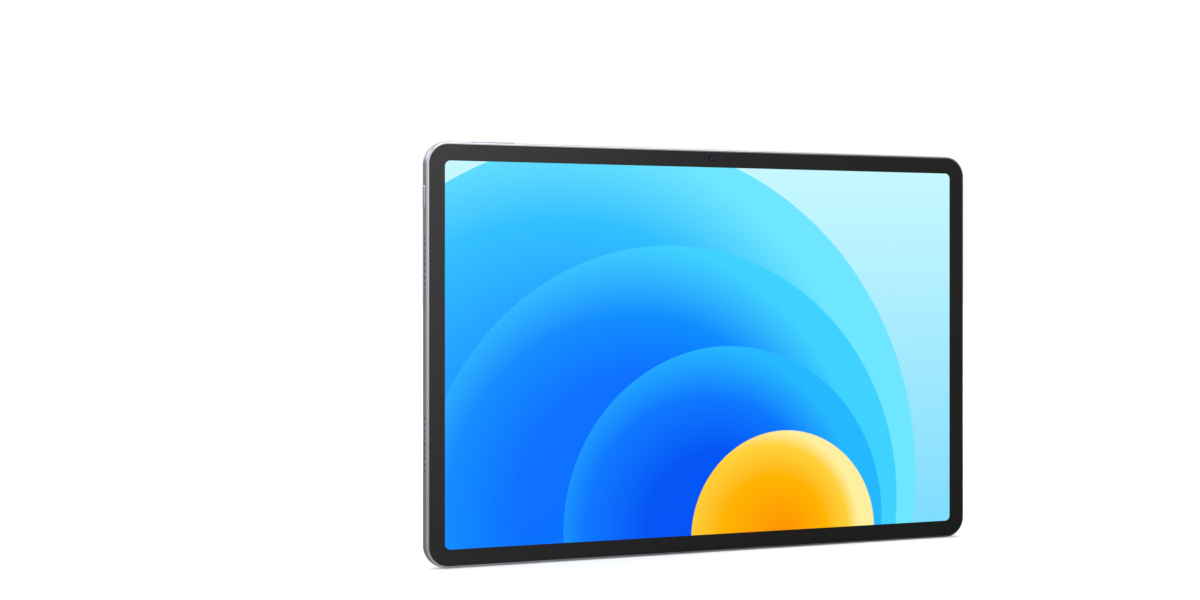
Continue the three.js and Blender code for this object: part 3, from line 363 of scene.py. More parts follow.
def mix(tree, factor, a, b):
    """Colour a where the factor is 0, going over to colour b where it is 1."""
    made = node(tree, "Mix", data_type="RGBA")
    for key, value in (("Factor", factor), ("A", a), ("B", b)):
        feed(tree, next(s for s in made.inputs if s.name == key and s.enabled), value)
    return next(s for s in made.outputs if s.enabled)


def grey(level):
    """A neutral colour at a linear level."""
    return (level, level, level, 1)


def colour(code):
    """A linear colour from a hexadecimal sRGB one."""
    channels = [int(code[k:k + 2], 16) / 255 for k in (0, 2, 4)]
    linear = [c / 12.92 if c <= 0.04045 else ((c + 0.055) / 1.055) ** 2.4 for c in channels]
    return (*linear, 1)


def scaled(base, factor):
    """A colour made lighter or darker."""
    return (*(min(1, channel * factor) for channel in base[:3]), 1)


def ramp_node(tree, value, stops):
    """A colour ramp through (place, linear grey level or hexadecimal colour) stops."""
    made = node(tree, "ValToRGB", {0: value})
    elements = made.color_ramp.elements
    while len(elements) < len(stops):
        elements.new(0.5)
    for element, (at, level) in zip(elements, stops):
        element.position = at
        element.color = colour(level) if isinstance(level, str) else grey(level)
    return made.outputs[0]


def new_material(name):
    """A material, its tree, its shader and the place on the object that its patterns use."""
    made = bpy.data.materials.new(name)
    made.use_nodes = True
    tree = made.node_tree
    tree.nodes.clear()
    shader = node(tree, "BsdfPrincipled")
    output = node(tree, "OutputMaterial")
    tree.links.new(shader.outputs[0], output.inputs["Surface"])
    place = node(tree, "TexCoord").outputs["Object"]
    return made, tree, shader, place


def noise(tree, place, scale, detail, stretch=None):
    """The level of a noise texture, whose place may be stretched along its axes."""
    if stretch:
        place = node(tree, "Mapping", {"Vector": place, "Scale": stretch}).outputs[0]
    inputs = {"Vector": place, "Scale": scale, "Detail": detail}
    return node(tree, "TexNoise", inputs).outputs["Fac"]


def weave(tree, inputs):
    """Threads crossing in the Y-Z plane, as a height from 0 to 1."""
    heights = [
        node(tree, "TexWave", inputs, bands_direction=axis).outputs["Fac"] for axis in ("Y", "Z")
    ]
    return maths(tree, "MULTIPLY", *heights)


def traces(tree, place, scale):
    """Traces of a printed circuit in the X-Z plane, as a colour from black to white."""
    turned = node(tree, "Mapping", {"Vector": place, "Rotation": (math.pi / 2, 0, 0)})
    inputs = {
        "Vector": turned.outputs[0], "Scale": scale, "Mortar Size": 0.06,
        "Color1": grey(0), "Color2": grey(0.25), "Mortar": grey(1),
    }
    return node(tree, "TexBrick", inputs).outputs["Color"]


def fine_pattern(tree, place, pattern, scale):
    """The small pattern that a surface's relief follows."""
    inputs = {"Vector": place, "Scale": scale}
    if pattern == "grain":
        return noise(tree, place, scale, detail=3)
    if pattern == "brushed":
        return noise(tree, place, scale, detail=3, stretch=(0.03, 1, 1))
    if pattern == "weave":
        return weave(tree, inputs)
    if pattern == "cells":
        return node(tree, "TexVoronoi", inputs).outputs["Distance"]
    if pattern == "stripes":
        return node(tree, "TexWave", inputs, bands_direction="DIAGONAL").outputs["Fac"]
    return traces(tree, place, scale)


BROAD_SCALE = 60  # of the slow variation in colour and roughness
BROAD_RANGE = (0.3, 0.7)  # levels of that noise between which a surface changes
FINE_RANGE = (0.35, 0.65)  # levels of the fine pattern between which its colour changes
SMOOTHEST = 0.01


def surface(
    name, base, roughness, metallic=0.0, pattern="grain", scale=4000.0, bump=0.1,
    depth=0.02 * MM, spread=0.06, rough_spread=0.05, second=None,
):
    """A material with its own fine relief, colour variation and roughness variation."""
    made, tree, shader, place = new_material(name)
    broad = noise(tree, place, BROAD_SCALE, detail=3)
    fine = fine_pattern(tree, place, pattern, scale)
    low, high = scaled(base, 1 - spread), scaled(base, 1 + spread)
    shade = mix(tree, smooth_range(tree, broad, *BROAD_RANGE), low, high)
    if second:
        shade = mix(tree, smooth_range(tree, fine, *FINE_RANGE), shade, second)
    tree.links.new(shade, shader.inputs["Base Color"])
    smoother, rougher = max(SMOOTHEST, roughness - rough_spread), roughness + rough_spread
    rough = smooth_range(tree, broad, *BROAD_RANGE, smoother, rougher)
    tree.links.new(rough, shader.inputs["Roughness"])
    relief = node(tree, "Bump", {"Strength": bump, "Distance": depth, "Height": fine})
    tree.links.new(relief.outputs[0], shader.inputs["Normal"])
    shader.inputs["Metallic"].default_value = metallic
    return made


# ---- Materials ----------------------------------------------------------------------

SHELL_TINT = colour("c3c1cd")
KEY_TINT = colour("cfcdd8")
BRIGHT_TINT = colour("e3e2ea")

anodised = surface(
    "anodised_shell", SHELL_TINT, 0.33, 1, scale=9000, bump=0.12, depth=0.012 * MM,
    spread=0.015, rough_spread=0.02,
)
# Painted shade: a darker grey for the walls inside the slots and openings and the ledge by the
# glass, where shade falls.
opening_painted_shade = surface(
    "opening_painted_shade", colour("55545c"), 0.5, 1, scale=7000, bump=0.2, depth=0.015 * MM,
    spread=0.05, rough_spread=0.04,
)
bright_cut = surface(
    "bright_cut", BRIGHT_TINT, 0.16, 1, pattern="brushed", scale=9000, bump=0.05,
    depth=0.004 * MM, spread=0.02, rough_spread=0.03,
)
key_metal = surface(
    "key_metal", KEY_TINT, 0.3, 1, scale=9000, bump=0.1, depth=0.01 * MM,
    spread=0.015, rough_spread=0.02,
)
plate_metal = surface(
    "camera_plate", colour("d6d5df"), 0.33, 1, scale=11000, bump=0.08, depth=0.008 * MM,
    spread=0.012, rough_spread=0.02,
)
polished = surface(
    "polished_ring", BRIGHT_TINT, 0.14, 1, scale=9000, bump=0.04, depth=0.003 * MM,
    spread=0.02, rough_spread=0.03,
)


def radius_about(tree, place, x, z):
    """Distance from an axis along Y, and the offsets from it along X and Z."""
    axes = node(tree, "SeparateXYZ", {0: place}).outputs
    across = maths(tree, "SUBTRACT", axes[0], x)
    up = maths(tree, "SUBTRACT", axes[2], z)
    square = maths(tree, "MULTIPLY", across, across)
    return maths(tree, "SQRT", maths(tree, "MULTIPLY_ADD", up, up, square)), across, up


MASK_WAVE = 60000.0  # radians of the turned rings' wave per metre of radius
MASK_REACH = 6 * MM
# Painted sheen and shade on the mask: darkest in the middle round the lens, lightest in a ring
# towards its rim.
MASK_PAINTED_SHEEN = (
    (0, "010101"), (0.36, "020202"), (0.42, "070707"), (0.8, "0f0f0f"), (1, "090909"),
)


def turned_mask(name, x, z):
    """Black lens mask with fine turned rings and a painted radial sheen, under a clear window."""
    made, tree, shader, place = new_material(name)
    radius, _, _ = radius_about(tree, place, x, z)
    rings = maths(tree, "SINE", maths(tree, "MULTIPLY", radius, MASK_WAVE))
    relief = node(tree, "Bump", {"Strength": 0.35, "Distance": 0.01 * MM, "Height": rings})
    tree.links.new(relief.outputs[0], shader.inputs["Normal"])
    share = maths(tree, "DIVIDE", radius, MASK_REACH)
    tree.links.new(ramp_node(tree, share, MASK_PAINTED_SHEEN), shader.inputs["Base Color"])
    shader.inputs["Roughness"].default_value = 0.3
    shader.inputs["Specular IOR Level"].default_value = 0.35
    return made


# Painted reflection: colours of blue-green glints in the lens, from the middle of the lens to its
# edge
LENS_PAINTED_GLINTS = (
    (0, "01030c"), (0.2, "020b2c"), (0.42, "062a6a"), (0.6, "1b7fae"), (0.72, "0c4a7c"),
    (0.86, "031527"), (1, "010204"),
)
GLINT_LEAN = -0.4  # how much of the height counts against the way across, where it fades
GLINT_FADE = (-0.5, 0.6)
GLASS_IOR = 1.5


def lens_with_painted_glints(name, x, z, reach):
    """Front element of a camera lens: nearly black, with painted blue-green reflections on one side
    and a painted glow.
    """
    made, tree, shader, place = new_material(name)
    radius, across, up = radius_about(tree, place, x, z)
    # Painted reflection: a ring of bright glints that fades out towards one side.
    ring = ramp_node(tree, maths(tree, "DIVIDE", radius, reach), LENS_PAINTED_GLINTS)
    aside = maths(tree, "MULTIPLY_ADD", up, GLINT_LEAN, across)
    side = smooth_range(tree, maths(tree, "DIVIDE", aside, reach), *GLINT_FADE)
    shade = mix(tree, side, colour("02061a"), ring)
    tree.links.new(shade, shader.inputs["Base Color"])
    smear = noise(tree, place, scale=900, detail=3)
    rough = smooth_range(tree, smear, 0.2, 0.8, to_low=0.02, to_high=0.06)
    tree.links.new(rough, shader.inputs["Roughness"])
    # Painted glow: the lens gives off its own colour, though it is no lamp.
    tree.links.new(shade, shader.inputs["Emission Color"])
    shader.inputs["Emission Strength"].default_value = 0.35
    shader.inputs["IOR"].default_value = GLASS_IOR
    return made


def glass_gloss(tree, place, shader):
    """Gloss of the cover glass, with the faintest trace of wiping in its roughness."""
    smear = noise(tree, place, scale=45, detail=4, stretch=(1, 1, 2.5))
    rough = smooth_range(tree, smear, 0.35, 0.75, to_low=0.02, to_high=0.05)
    tree.links.new(rough, shader.inputs["Roughness"])
    shader.inputs["IOR"].default_value = GLASS_IOR


BORDER_BLACK = (0.0105, 0.0107, 0.0103, 1)
# Discs printed or seen through the border, from the rear one to the front one; the blue ones in
# the front camera's lens are a painted reflection. Each has its centre's x, its radius in
# millimetres and its colour.
BORDER_PRINT_AND_GLINTS = (
    (front_camera_x, 1.62, "242628"), (front_camera_x, 1.48, "020203"),
    (front_camera_x, 0.78, "16304a"), (front_camera_x, 0.6, "03060b"),
    (front_camera_x, 0.22, "2a6fa8"), (sensor_x, 0.7, "0d0b12"),
)
BORDER_DISC_EDGE = 0.05 * MM


def black_border(name):
    """Cover glass over black print, with the window of the front camera, a painted reflection in
    its lens, and its sensor.
    """
    made, tree, shader, place = new_material(name)
    glass_gloss(tree, place, shader)
    shade = BORDER_BLACK
    for x, radius, inside in BORDER_PRINT_AND_GLINTS:
        distance, _, _ = radius_about(tree, place, x, front_camera_z)
        near, far = radius * MM - BORDER_DISC_EDGE, radius * MM + BORDER_DISC_EDGE
        shade = mix(tree, smooth_range(tree, distance, near, far), colour(inside), shade)
    tree.links.new(shade, shader.inputs["Base Color"])
    return made


# Sky of the lit picture, from its lower edge to its upper one
SKY = ((0, "7fdcff"), (0.5, "a4eafe"), (1, "c6f8ff"))
# Nested discs in front of it, from the rear one to the front one. Each has its centre and radius
# in millimetres from the middle of the picture, and its colours from its middle to its edge.
DISCS = (
    (-46, -58, 150, ((0.5, "1a9fff"), (0.75, "2fc0ff"), (1, "6ee6ff"))),
    (-20, -68, 114, ((0.5, "0570ff"), (0.72, "0a8cff"), (1, "3fd2ff"))),
    (8, -76, 78, ((0.4, "0055f5"), (0.7, "0a78ff"), (1, "25b8ff"))),
    (36, -82, 46, ((0, "ff9000"), (0.55, "ffb400"), (0.85, "ffd23c"), (1, "fff0a0"))),
)
DISC_EDGE = 0.15  # millimetres over which a disc's edge fades, each way
DISC_LEAN = 0.2  # how much brighter a disc gets towards +X


def picture(name):
    """The lit display under the glass: nested blue discs behind a low amber one."""
    made, tree, shader, place = new_material(name)
    glass_gloss(tree, place, shader)
    height = node(tree, "SeparateXYZ", {0: place}).outputs[2]
    low, high = MIDDLE_Z - PICTURE_HEIGHT / 2, MIDDLE_Z + PICTURE_HEIGHT / 2
    rise = node(tree, "MapRange", {"Value": height, "From Min": low, "From Max": high}).outputs[0]
    shade = ramp_node(tree, rise, SKY)
    for x, z, radius, stops in DISCS:
        distance, across, _ = radius_about(tree, place, x * MM, MIDDLE_Z + z * MM)
        near, far = (radius - DISC_EDGE) * MM, (radius + DISC_EDGE) * MM
        outside = smooth_range(tree, distance, near, far)
        leaning = maths(tree, "MULTIPLY_ADD", across, DISC_LEAN, distance)
        share = maths(tree, "DIVIDE", leaning, radius * MM)
        shade = mix(tree, outside, ramp_node(tree, share, stops), shade)
    shader.inputs["Base Color"].default_value = grey(0.0)
    shader.inputs["Specular IOR Level"].default_value = 0.12
    tree.links.new(shade, shader.inputs["Emission Color"])
    shader.inputs["Emission Strength"].default_value = 1
    return made


# Finishes of the nodes that stay as the CAD made them, by material slot
FINISHES = {
    "black_foam": dict(base=grey(0.015), roughness=0.9, pattern="cells", scale=2500, bump=0.5),
    "sensor_film": dict(
        base=colour("8f9aa3"), roughness=0.12, pattern="traces", scale=220, bump=0.02,
        second=colour("a9a08a"),
    ),
    "lcd_glass": dict(
        base=colour("101418"), roughness=0.08, pattern="weave", scale=1600, bump=0.02,
        second=colour("1c2630"),
    ),
    "clear_film": dict(
        base=colour("dfe6e8"), roughness=0.3, pattern="cells", scale=900, bump=0.1,
        second=colour("f4f7f8"),
    ),
    "led_strip": dict(
        base=colour("d8d6cc"), roughness=0.45, pattern="stripes", scale=60, bump=0.2,
        second=colour("f0d24a"),
    ),
    "sheet_steel": dict(
        base=colour("b9bcc0"), roughness=0.34, metallic=1, pattern="brushed", scale=5000, bump=0.2,
    ),
    "screw_steel": dict(
        base=colour("9a9ca0"), roughness=0.3, metallic=1, pattern="grain", scale=7000, bump=0.15,
    ),
    "flex_circuit": dict(
        base=colour("7a4412"), roughness=0.4, pattern="stripes", scale=420, bump=0.12,
        second=colour("a5691f"),
    ),
    "black_plastic": dict(base=colour("17181a"), roughness=0.5, scale=5000, bump=0.2),
    "chip_black": dict(base=colour("141517"), roughness=0.42, scale=7000, bump=0.15),
    "circuit_board": dict(
        base=colour("0f3322"), roughness=0.42, pattern="traces", scale=160, bump=0.15,
        second=colour("1b5a3a"),
    ),
    "graphite": dict(
        base=colour("303236"), roughness=0.5, metallic=0.3, pattern="brushed", scale=2600, bump=0.3,
    ),
    "battery_pouch": dict(
        base=colour("22242a"), roughness=0.38, metallic=0.5, scale=260, bump=0.4, depth=0.1 * MM,
    ),
    "speaker_mesh": dict(
        base=colour("0a0a0b"), roughness=0.6, metallic=0.6, pattern="weave", scale=1500, bump=0.8,
        depth=0.05 * MM, second=colour("2c2d30"),
    ),
}
finishes = {name: surface(name, **settings) for name, settings in FINISHES.items()}

# ---- Rear shell ---------------------------------------------------------------------

rear_arc_y = REAR_Y - REAR_EDGE_RADIUS
front_arc_y = FRONT_Y + FRONT_EDGE_DEPTH
ledge_y = FRONT_Y + LEDGE_DEPTH
floor_y = REAR_Y - REAR_WALL
seat_y = plate_low.y - SEAT_GAP


def shell_loops():
    """Loops from the rear face round the outside and the lip, and in to the shell's floor."""
    loops = []
    for angle in angles(REAR_STEPS):
        inset = REAR_EDGE_RADIUS * (1 - math.sin(angle))
        loops.append(body_loop(inset, rear_arc_y + REAR_EDGE_RADIUS * math.cos(angle)))
    sweep = math.asin((FRONT_EDGE_DEPTH - LIP_CHAMFER) / FRONT_EDGE_RADIUS)
    for angle in angles(FRONT_STEPS, sweep):
        inset = FRONT_EDGE_RADIUS * (1 - math.cos(angle))
        loops.append(body_loop(inset, front_arc_y - FRONT_EDGE_RADIUS * math.sin(angle)))
    loops.append(body_loop(inset + LIP_CHAMFER, FRONT_Y))
    lip = GLASS_INSET - GLASS_GAP
    loops.append(body_loop(lip, FRONT_Y))
    loops.append(body_loop(lip, ledge_y))
    loops.append(body_loop(SIDE_WALL, ledge_y))
    for angle in angles(FILLET_STEPS):
        inset = SIDE_WALL + FLOOR_FILLET * (1 - math.cos(angle))
        loops.append(body_loop(inset, floor_y - FLOOR_FILLET * (1 - math.sin(angle))))
    return loops


def flared_cutter(length, width, flare, side, y, z, steps=STADIUM_STEPS):
    """Loops of an opening with a flared mouth, in the left side (-1) or the right one (1)."""
    wide = stadium(length + 2 * flare, width + 2 * flare, steps)
    straight = stadium(length, width, steps)
    outs = ((wide, CUT_PAST), (wide, 0), (straight, -flare), (straight, -CUT_DEPTH))
    return [on_x(points, side * (HALF_WIDTH + out), z, y) for points, out in outs]


def key_opening(length):
    """Outline of the opening that a key moves in."""
    return stadium(length + 2 * KEY_GAP, KEY_WIDTH + 2 * KEY_GAP)


def shell_cutters():
    """Loops of the speaker slots, key openings, USB-C opening, microphone holes and seat."""
    sets = []
    for side in (-1, 1):
        for row in (-1, 1):
            for k in range(SLOT_COUNT):
                z = MIDDLE_Z + row * SLOT_ROW_OFFSET + (k - (SLOT_COUNT - 1) / 2) * SLOT_PITCH
                slot = flared_cutter(SLOT_LENGTH, SLOT_WIDTH, SLOT_FLARE, side, 0, z, SLOT_STEPS)
                sets.append(slot)
    into_left = (-HALF_WIDTH - CUT_PAST, -HALF_WIDTH + CUT_DEPTH)
    into_right = (HALF_WIDTH + CUT_PAST, HALF_WIDTH - CUT_DEPTH)
    into_top = (TOP_Z + CUT_PAST, TOP_Z - CUT_DEPTH)
    sets.append([on_x(key_opening(POWER_LENGTH), x, power_z) for x in into_left])
    sets.append([on_z(key_opening(VOLUME_LENGTH), volume_x, z) for z in into_top])
    length, width = usb_length + 2 * USB_GAP, usb_width + 2 * USB_GAP
    sets.append(flared_cutter(length, width, USB_FLARE, 1, usb_y, usb_z))
    hole = circle(MIC_HOLE, MIC_STEPS)
    sets.append([on_x(hole, x, side_mic_z) for x in into_right])
    sets.append([on_z(hole, top_mic_x, z) for z in into_top])
    seat = stadium(PLATE_LENGTH + 2 * PLATE_GAP, PLATE_WIDTH + 2 * PLATE_GAP, PLATE_STEPS)
    sets.append([on_y(seat, plate_x, y, lens_z) for y in (REAR_Y + CUT_PAST, seat_y)])
    return sets


def outer_normal(point):
    """Where a point lies against the body's outer surface.

    Gives the normal of the surface there, how far in from the surface the point lies, and the
    direction straight out from the body's outline.
    """
    x = abs(point.x) - (HALF_WIDTH - CORNER_RADIUS)
    z = abs(point.z - MIDDLE_Z) - (HALF_HEIGHT - CORNER_RADIUS)
    side_x, side_z = math.copysign(1, point.x), math.copysign(1, point.z - MIDDLE_Z)
    if x > 0 and z > 0:
        reach = math.hypot(x, z)
        outward = Vector((side_x * x / reach, 0, side_z * z / reach))
    elif x > z:
        reach, outward = x, Vector((side_x, 0, 0))
    else:
        reach, outward = z, Vector((0, 0, side_z))
    inset = CORNER_RADIUS - reach
    if front_arc_y < point.y <= rear_arc_y:
        return outward, inset, outward
    if point.y > rear_arc_y:
        radius, depth = REAR_EDGE_RADIUS, point.y - rear_arc_y
        if inset >= radius:
            return Vector((0, 1, 0)), REAR_Y - point.y, outward
    else:
        radius, depth = FRONT_EDGE_RADIUS, point.y - front_arc_y
    across = radius - inset
    length = math.hypot(across, depth)
    normal = outward * (across / length) + Vector((0, depth / length, 0))
    return normal, radius - length, outward


NEAR = 0.03 * MM  # how near to a surface counts as on it
FACING = 0.99  # least cosine between a face's normal and the way it is taken to face
DIAGONAL = math.sqrt(0.5)
CHAMFER_FACING = (0.3, 0.95)  # how far towards the rear the faces of the plate's chamfer point


def smooth_shell(mesh):
    """Exact normals on the outer surface and the chamfer, and each face's own elsewhere.

    The chamfer and the flat rim inside it get the bright cut, and what lies inside the body
    gets a darker grey, painted shade in the slots, the openings and the gap by the glass.
    """
    normals = [None] * len(mesh.loops)
    for face in mesh.polygons:
        normal, distance, outward = outer_normal(face.center)
        cut = outward * DIAGONAL + Vector((0, -DIAGONAL, 0))
        on_cut = face.normal.dot(cut) > FACING and face.center.y < FRONT_Y + LIP_CHAMFER
        on_rim = face.normal.y < -FACING and face.center.y < FRONT_Y + NEAR
        on_outside = not on_cut and abs(distance) < NEAR and face.normal.dot(normal) > FACING
        inside = not on_outside and distance > SLOT_FLARE
        # Faces inside the body take material 2, the darker grey of painted shade.
        face.material_index = 1 if on_cut or on_rim else 2 * inside
        for loop in face.loop_indices:
            point = mesh.vertices[mesh.loops[loop].vertex_index].co
            exact, _, outward = outer_normal(point)
            if on_cut:
                exact = outward * DIAGONAL + Vector((0, -DIAGONAL, 0))
            normals[loop] = exact if on_cut or on_outside else face.normal.copy()
    mesh.shade_smooth()
    mesh.normals_split_custom_set(normals)


def shell_piece():
    """The rear shell with all its openings."""
    made = solid("rear_shell", shell_loops())
    boolean(made, solid("cutter", *shell_cutters()), "DIFFERENCE")
    hole = circle(CAMERA_HOLE, CAMERA_HOLE_STEPS)
    through = [on_y(hole, lens_x, y, lens_z) for y in (REAR_Y, floor_y - CUT_PAST)]
    boolean(made, solid("cutter", through), "DIFFERENCE")
    clothe(made, anodised, bright_cut, opening_painted_shade)
    smooth_shell(made.data)
    return made


piece(shell_piece(), "housing", ["rear_cover"])


# ---- Cover glass --------------------------------------------------------------------

def glass_piece():
    """The glass slab with a rounded rim and the picture area as its own face."""
    loops = [body_loop(GLASS_INSET, glass_high.y)]
    for angle in angles(GLASS_STEPS):
        inset = GLASS_INSET + GLASS_RIM * (1 - math.cos(angle))
        loops.append(body_loop(inset, FRONT_Y + GLASS_RIM * (1 - math.sin(angle))))
    loops.append(body_loop(GLASS_INSET + 3 * GLASS_RIM, FRONT_Y))
    points = outline(PICTURE_WIDTH, PICTURE_HEIGHT, PICTURE_CORNER)
    loops.append(on_y(points, 0, FRONT_Y, MIDDLE_Z))
    bm = bmesh.new()
    corners = set(add_loops(bm, loops)[-1])
    for face in bm.faces:
        face.material_index = 1 if set(face.verts) == corners else 0
    return to_object("cover_glass_face", bm, GLASS_SHARP_ANGLE)


glass = clothe(glass_piece(), black_border("black_border"), picture("lit_picture"))
piece(glass, "housing", ["cover_glass"])


# ---- Keys ---------------------------------------------------------------------------

def key_rows(length, flange_depth):
    """(outline, depth) of a key, from its rounded outer face to the back of its flange."""
    rows = []
    for angle in angles(KEY_STEPS):
        shrink = 2 * KEY_EDGE * (1 - math.sin(angle))
        depth = KEY_EDGE * (1 - math.cos(angle))
        rows.append((stadium(length - shrink, KEY_WIDTH - shrink), depth))
    flange = stadium(length + 2 * FLANGE_SPREAD, KEY_WIDTH + 2 * FLANGE_SPREAD)
    rows.append((stadium(length, KEY_WIDTH), flange_depth))
    rows.append((flange, flange_depth))
    rows.append((flange, flange_depth + FLANGE_THICKNESS))
    return rows


def power_key_piece():
    """The power key, with one nub that presses its switch."""
    flange_depth = power_high.x - NUB_LENGTH - FLANGE_THICKNESS - power_low.x
    rows = key_rows(POWER_LENGTH, flange_depth)
    made = solid("power_key_cap", [on_x(points, power_low.x + d, power_z) for points, d in rows])
    nub = circle(NUB_DIAMETER, NUB_STEPS)
    start = power_low.x + flange_depth + FLANGE_THICKNESS / 2
    nubs = solid("nub", [on_x(nub, x, power_z) for x in (start, power_high.x)])
    boolean(made, nubs, "UNION")
    return clothe(made, key_metal)


def volume_key_piece():
    """The volume key, with a nub for each of its two switches."""
    flange_depth = volume_high.z - (volume_low.z + NUB_LENGTH + FLANGE_THICKNESS)
    rows = key_rows(VOLUME_LENGTH, flange_depth)
    loops = [on_z(points, volume_x, volume_high.z - d) for points, d in rows]
    made = solid("volume_key_cap", loops)
    nub = circle(NUB_DIAMETER, NUB_STEPS)
    start = volume_low.z + NUB_LENGTH + FLANGE_THICKNESS / 2
    nubs = solid("nub", *(
        [on_z(nub, volume_x + side * VOLUME_NUB_SPACING / 2, z) for z in (start, volume_low.z)]
        for side in (-1, 1)
    ))
    boolean(made, nubs, "UNION")
    return clothe(made, key_metal)


piece(power_key_piece(), "power_button", ["power_key"])
piece(volume_key_piece(), "volume_rocker", ["volume_key"])


# ---- Rear camera --------------------------------------------------------------------

def plate_piece():
    """The raised plate with its bright chamfer and the round opening of the lens ring."""
    hole = ring_radius + PLATE_GAP
    face = plate_high.y

    def outer(shrink, y):
        points = stadium(PLATE_LENGTH - 2 * shrink, PLATE_WIDTH - 2 * shrink, PLATE_STEPS)
        return on_y(points, plate_x, y, lens_z)

    def inner(y):
        centre = Vector((lens_x, y, lens_z))
        return [centre + hole * (p - centre).normalized() for p in outer(0, y)]

    loops = [
        outer(0, plate_low.y), outer(0, face - PLATE_CHAMFER), outer(PLATE_CHAMFER, face),
        inner(face), inner(plate_low.y),
    ]
    made = solid("camera_plate", loops, closed=True)
    for polygon in made.data.polygons:
        leaning = CHAMFER_FACING[0] < polygon.normal.y < CHAMFER_FACING[1]
        polygon.material_index = 1 if leaning else 0
    return made


plate = clothe(plate_piece(), plate_metal, polished)
piece(plate, "housing", ["rear_camera_plate"])

ring_bore = ring_radius - RING_WALL
softened = RING_BEVEL_MIDDLE * RING_BEVEL
ring = lathe(
    "lens_ring",
    [
        (ring_bore, ring_low.y), (ring_radius, ring_low.y),
        (ring_radius, ring_high.y - RING_BEVEL), (ring_radius - softened, ring_high.y - softened),
        (ring_radius - RING_BEVEL, ring_high.y), (ring_bore + RING_BEVEL, ring_high.y),
        (ring_bore, ring_high.y - RING_BEVEL),
    ],
    closed=True,
)
piece(clothe(ring, polished), "housing", ["rear_lens_ring"])

mask_steps = [(radius * MM, window_top - depth * MM) for radius, depth in MASK_STEPS]
mask = lathe(
    "lens_mask",
    [
        (window_radius, window_low.y), (window_radius, window_top - WINDOW_BEVEL),
        (window_radius - WINDOW_BEVEL, window_top), (window_radius - MASK_RIM, window_top),
        *mask_steps, (mask_steps[-1][0], window_low.y),
    ],
    closed=True,
)
piece(
    clothe(mask, turned_mask("lens_mask", lens_x, lens_z)),
    "housing", ["rear_lens_window"],
)

dome = [(LENS_REACH, window_low.y)]
for step in range(LENS_STEPS + 1):
    share = 1 - step / LENS_STEPS
    rise = LENS_CROWN * math.sqrt(1 - (LENS_CURVE * share) ** 2)
    dome.append((max(LENS_TIP, LENS_REACH * share), window_top - LENS_SINK + rise))
lens = lathe("lens_element", dome, sharp=LENS_SHARP_ANGLE)
clothe(lens, lens_with_painted_glints("lens_painted_glints", lens_x, lens_z, LENS_REACH))
piece(lens, "housing")


# ---- USB-C socket -------------------------------------------------------------------

def usb_loop(shrink, x):
    """A loop of the socket's shell at one depth, in from its outer outline."""
    return on_x(stadium(usb_length - 2 * shrink, usb_width - 2 * shrink), x, usb_z, usb_y)


socket = solid("usb_shell", [
    usb_loop(0, usb_low.x), usb_loop(0, usb_high.x - USB_ROUNDING),
    usb_loop(USB_ROUNDING, usb_high.x), usb_loop(USB_WALL - USB_ROUNDING, usb_high.x),
    usb_loop(USB_WALL, usb_high.x - USB_ROUNDING), usb_loop(USB_WALL, usb_low.x),
], closed=True)
piece(clothe(socket, finishes["sheet_steel"]), "housing", ["usb_c_shell"])

# ---- Materials of the CAD nodes that stay -------------------------------------------

slots = {row["node"]: row["material_slot"] for row in frame["record"]["subparts"]}
for name, made in frame["nodes"].items():
    if not made.hide_render:
        clothe(made, finishes[slots[name]])

# ---- Floor, world and lights --------------------------------------------------------

FLOOR_REACH = 8
FLOOR_DROP = 0.05 * MM
FLOOR_FADE = (0.2, 0.9)  # distances from the tablet between which the floor goes over to white
FLOOR_PAINTED_GLOW = (0.25, 1.0)  # its own glow at those distances


def floor_piece():
    """A pale floor with a painted glow, weakest by the tablet, that goes over into the white
    surround away from it.
    """
    bm = bmesh.new()
    far = FLOOR_REACH
    corners = ((-far, -far), (far, -far), (far, far), (-far, far))
    bm.faces.new([bm.verts.new((x, y, -FLOOR_DROP)) for x, y in corners])
    made = to_object("floor", bm)
    material, tree, shader, place = new_material("floor")
    distance = node(tree, "VectorMath", {0: place}, operation="LENGTH").outputs["Value"]
    # Painted light: the floor glows, less near the tablet and fully far from it.
    glow = smooth_range(tree, distance, *FLOOR_FADE, *FLOOR_PAINTED_GLOW)
    tree.links.new(glow, shader.inputs["Emission Strength"])
    shader.inputs["Emission Color"].default_value = grey(1)
    shader.inputs["Base Color"].default_value = grey(0.86)
    shader.inputs["Roughness"].default_value = 0.9
    shader.inputs["Specular IOR Level"].default_value = 0.1
    made.visible_glossy = False
    return clothe(made, material)


floor_piece()

scene = bpy.context.scene
scene.view_settings.view_transform = "Standard"
scene.view_settings.look = "None"

# Level of the surround by direction, in degrees from -Y towards +X
ROUND = (
    (-180, 1.0), (-172, 0.4), (-154, 0.12), (-130, 0.75), (-100, 0.95), (-72, 1.0), (8, 1.05),
    (17, 1.05), (26, 0.27), (34, 0.1), (52, 0.12), (76, 0.62), (104, 0.62), (116, 0.04),
    (125, 0.04), (131, 1.05), (140, 1.1), (148, 0.42), (156, 0.58), (167, 1.0), (180, 1.0),
)
# Level of the surround by height, from straight down to straight up, in front and behind, and
# how far towards +Y the one goes over to the other
FRONT_UPWARDS = ((0, 0.75), (0.25, 0.6), (0.36, 0.3), (0.43, 0.32), (0.54, 1.0), (1, 1.0))
REAR_UPWARDS = ((0, 0.55), (0.3, 0.6), (0.42, 0.7), (0.57, 1.0), (1, 1.0))
REAR_FADE = (0.0, 0.6)


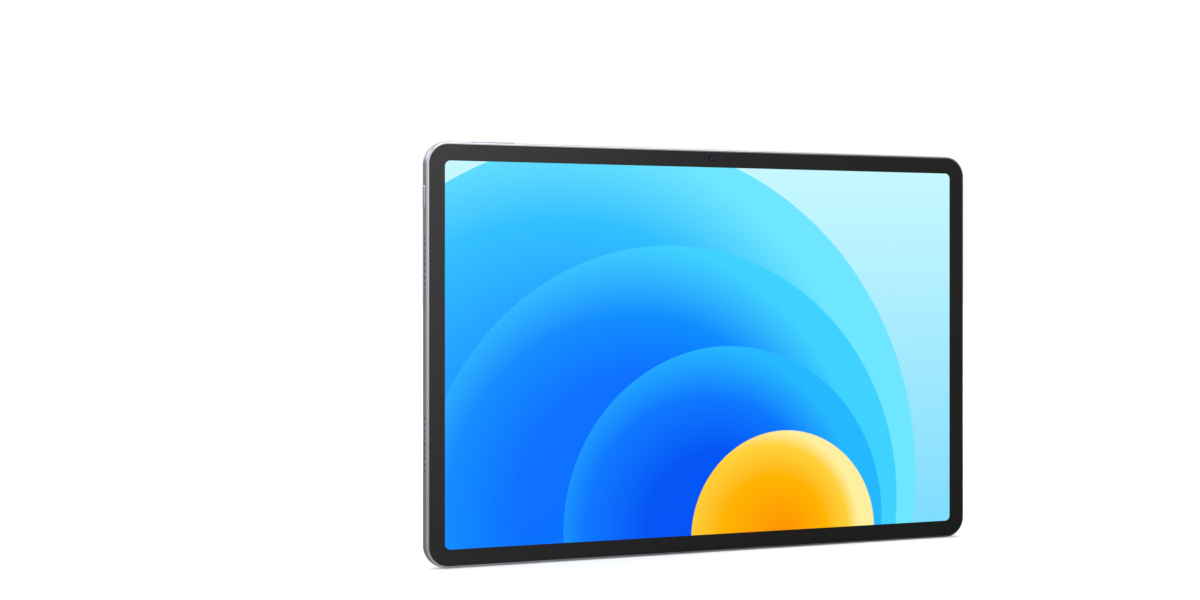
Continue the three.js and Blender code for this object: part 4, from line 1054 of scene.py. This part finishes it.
def studio():
    """White behind everything for the camera, and a softer studio in what surfaces reflect."""
    world = bpy.data.worlds.new("studio")
    scene.world = world
    world.use_nodes = True
    tree = world.node_tree
    tree.nodes.clear()
    way = node(tree, "TexCoord").outputs["Generated"]
    axes = node(tree, "SeparateXYZ", {0: way}).outputs
    front = maths(tree, "MULTIPLY", axes[1], -1.0)
    turn = maths(tree, "DIVIDE", maths(tree, "ARCTAN2", axes[0], front), 2 * math.pi)
    turn = maths(tree, "ADD", turn, 0.5)
    level = ramp_node(tree, turn, [(at / 360 + 0.5, value) for at, value in ROUND])
    height = maths(tree, "MULTIPLY_ADD", axes[2], 0.5, 0.5)
    in_front = ramp_node(tree, height, FRONT_UPWARDS)
    behind = ramp_node(tree, height, REAR_UPWARDS)
    upwards = mix(tree, smooth_range(tree, axes[1], *REAR_FADE), in_front, behind)
    level = maths(tree, "MULTIPLY", level, upwards)
    seen = node(tree, "LightPath").outputs["Is Camera Ray"]
    strength = maths(tree, "MAXIMUM", seen, level)
    background = node(tree, "Background", {"Color": grey(1), "Strength": strength})
    output = node(tree, "OutputWorld")
    tree.links.new(background.outputs[0], output.inputs["Surface"])


studio()


def softbox(name, place, size, watts):
    """A rectangular soft light aimed at the middle of the tablet."""
    light = bpy.data.lights.new(name, "AREA")
    light.shape = "RECTANGLE"
    light.size, light.size_y = size
    light.energy = watts
    made = bpy.data.objects.new(name, light)
    made.location = place
    target = Vector((0, 0, MIDDLE_Z))
    made.rotation_euler = (target - made.location).to_track_quat("-Z", "Y").to_euler()
    made.visible_camera = False
    scene.collection.objects.link(made)


softbox("key_light", Vector((-0.9, -1.3, 1.5)), size=(1.4, 1.0), watts=8)
softbox("rear_light", Vector((-1.1, 1.5, 1.1)), size=(1.2, 1.0), watts=6)
softbox("top_light", Vector((0, 0, 2.0)), size=(2.0, 2.0), watts=26)

# ---- Camera, solved from the edges of the body and of its picture area --------------

CAMERA_PLACE = Vector((-0.35412, -0.72786, 0.11863))
CAMERA_TURN = math.radians(-22.559)
CAMERA_LENS = 55.05
CAMERA_SENSOR = 36
CAMERA_SHIFT = -0.01504
CAMERA_NEAREST = 0.01

camera = bpy.data.objects.new("camera", bpy.data.cameras.new("camera"))
camera.location = CAMERA_PLACE
camera.rotation_euler = (math.pi / 2, 0, CAMERA_TURN)
camera.data.lens = CAMERA_LENS
camera.data.sensor_width = CAMERA_SENSOR
camera.data.shift_y = CAMERA_SHIFT
camera.data.clip_start = CAMERA_NEAREST
scene.collection.objects.link(camera)
scene.camera = camera
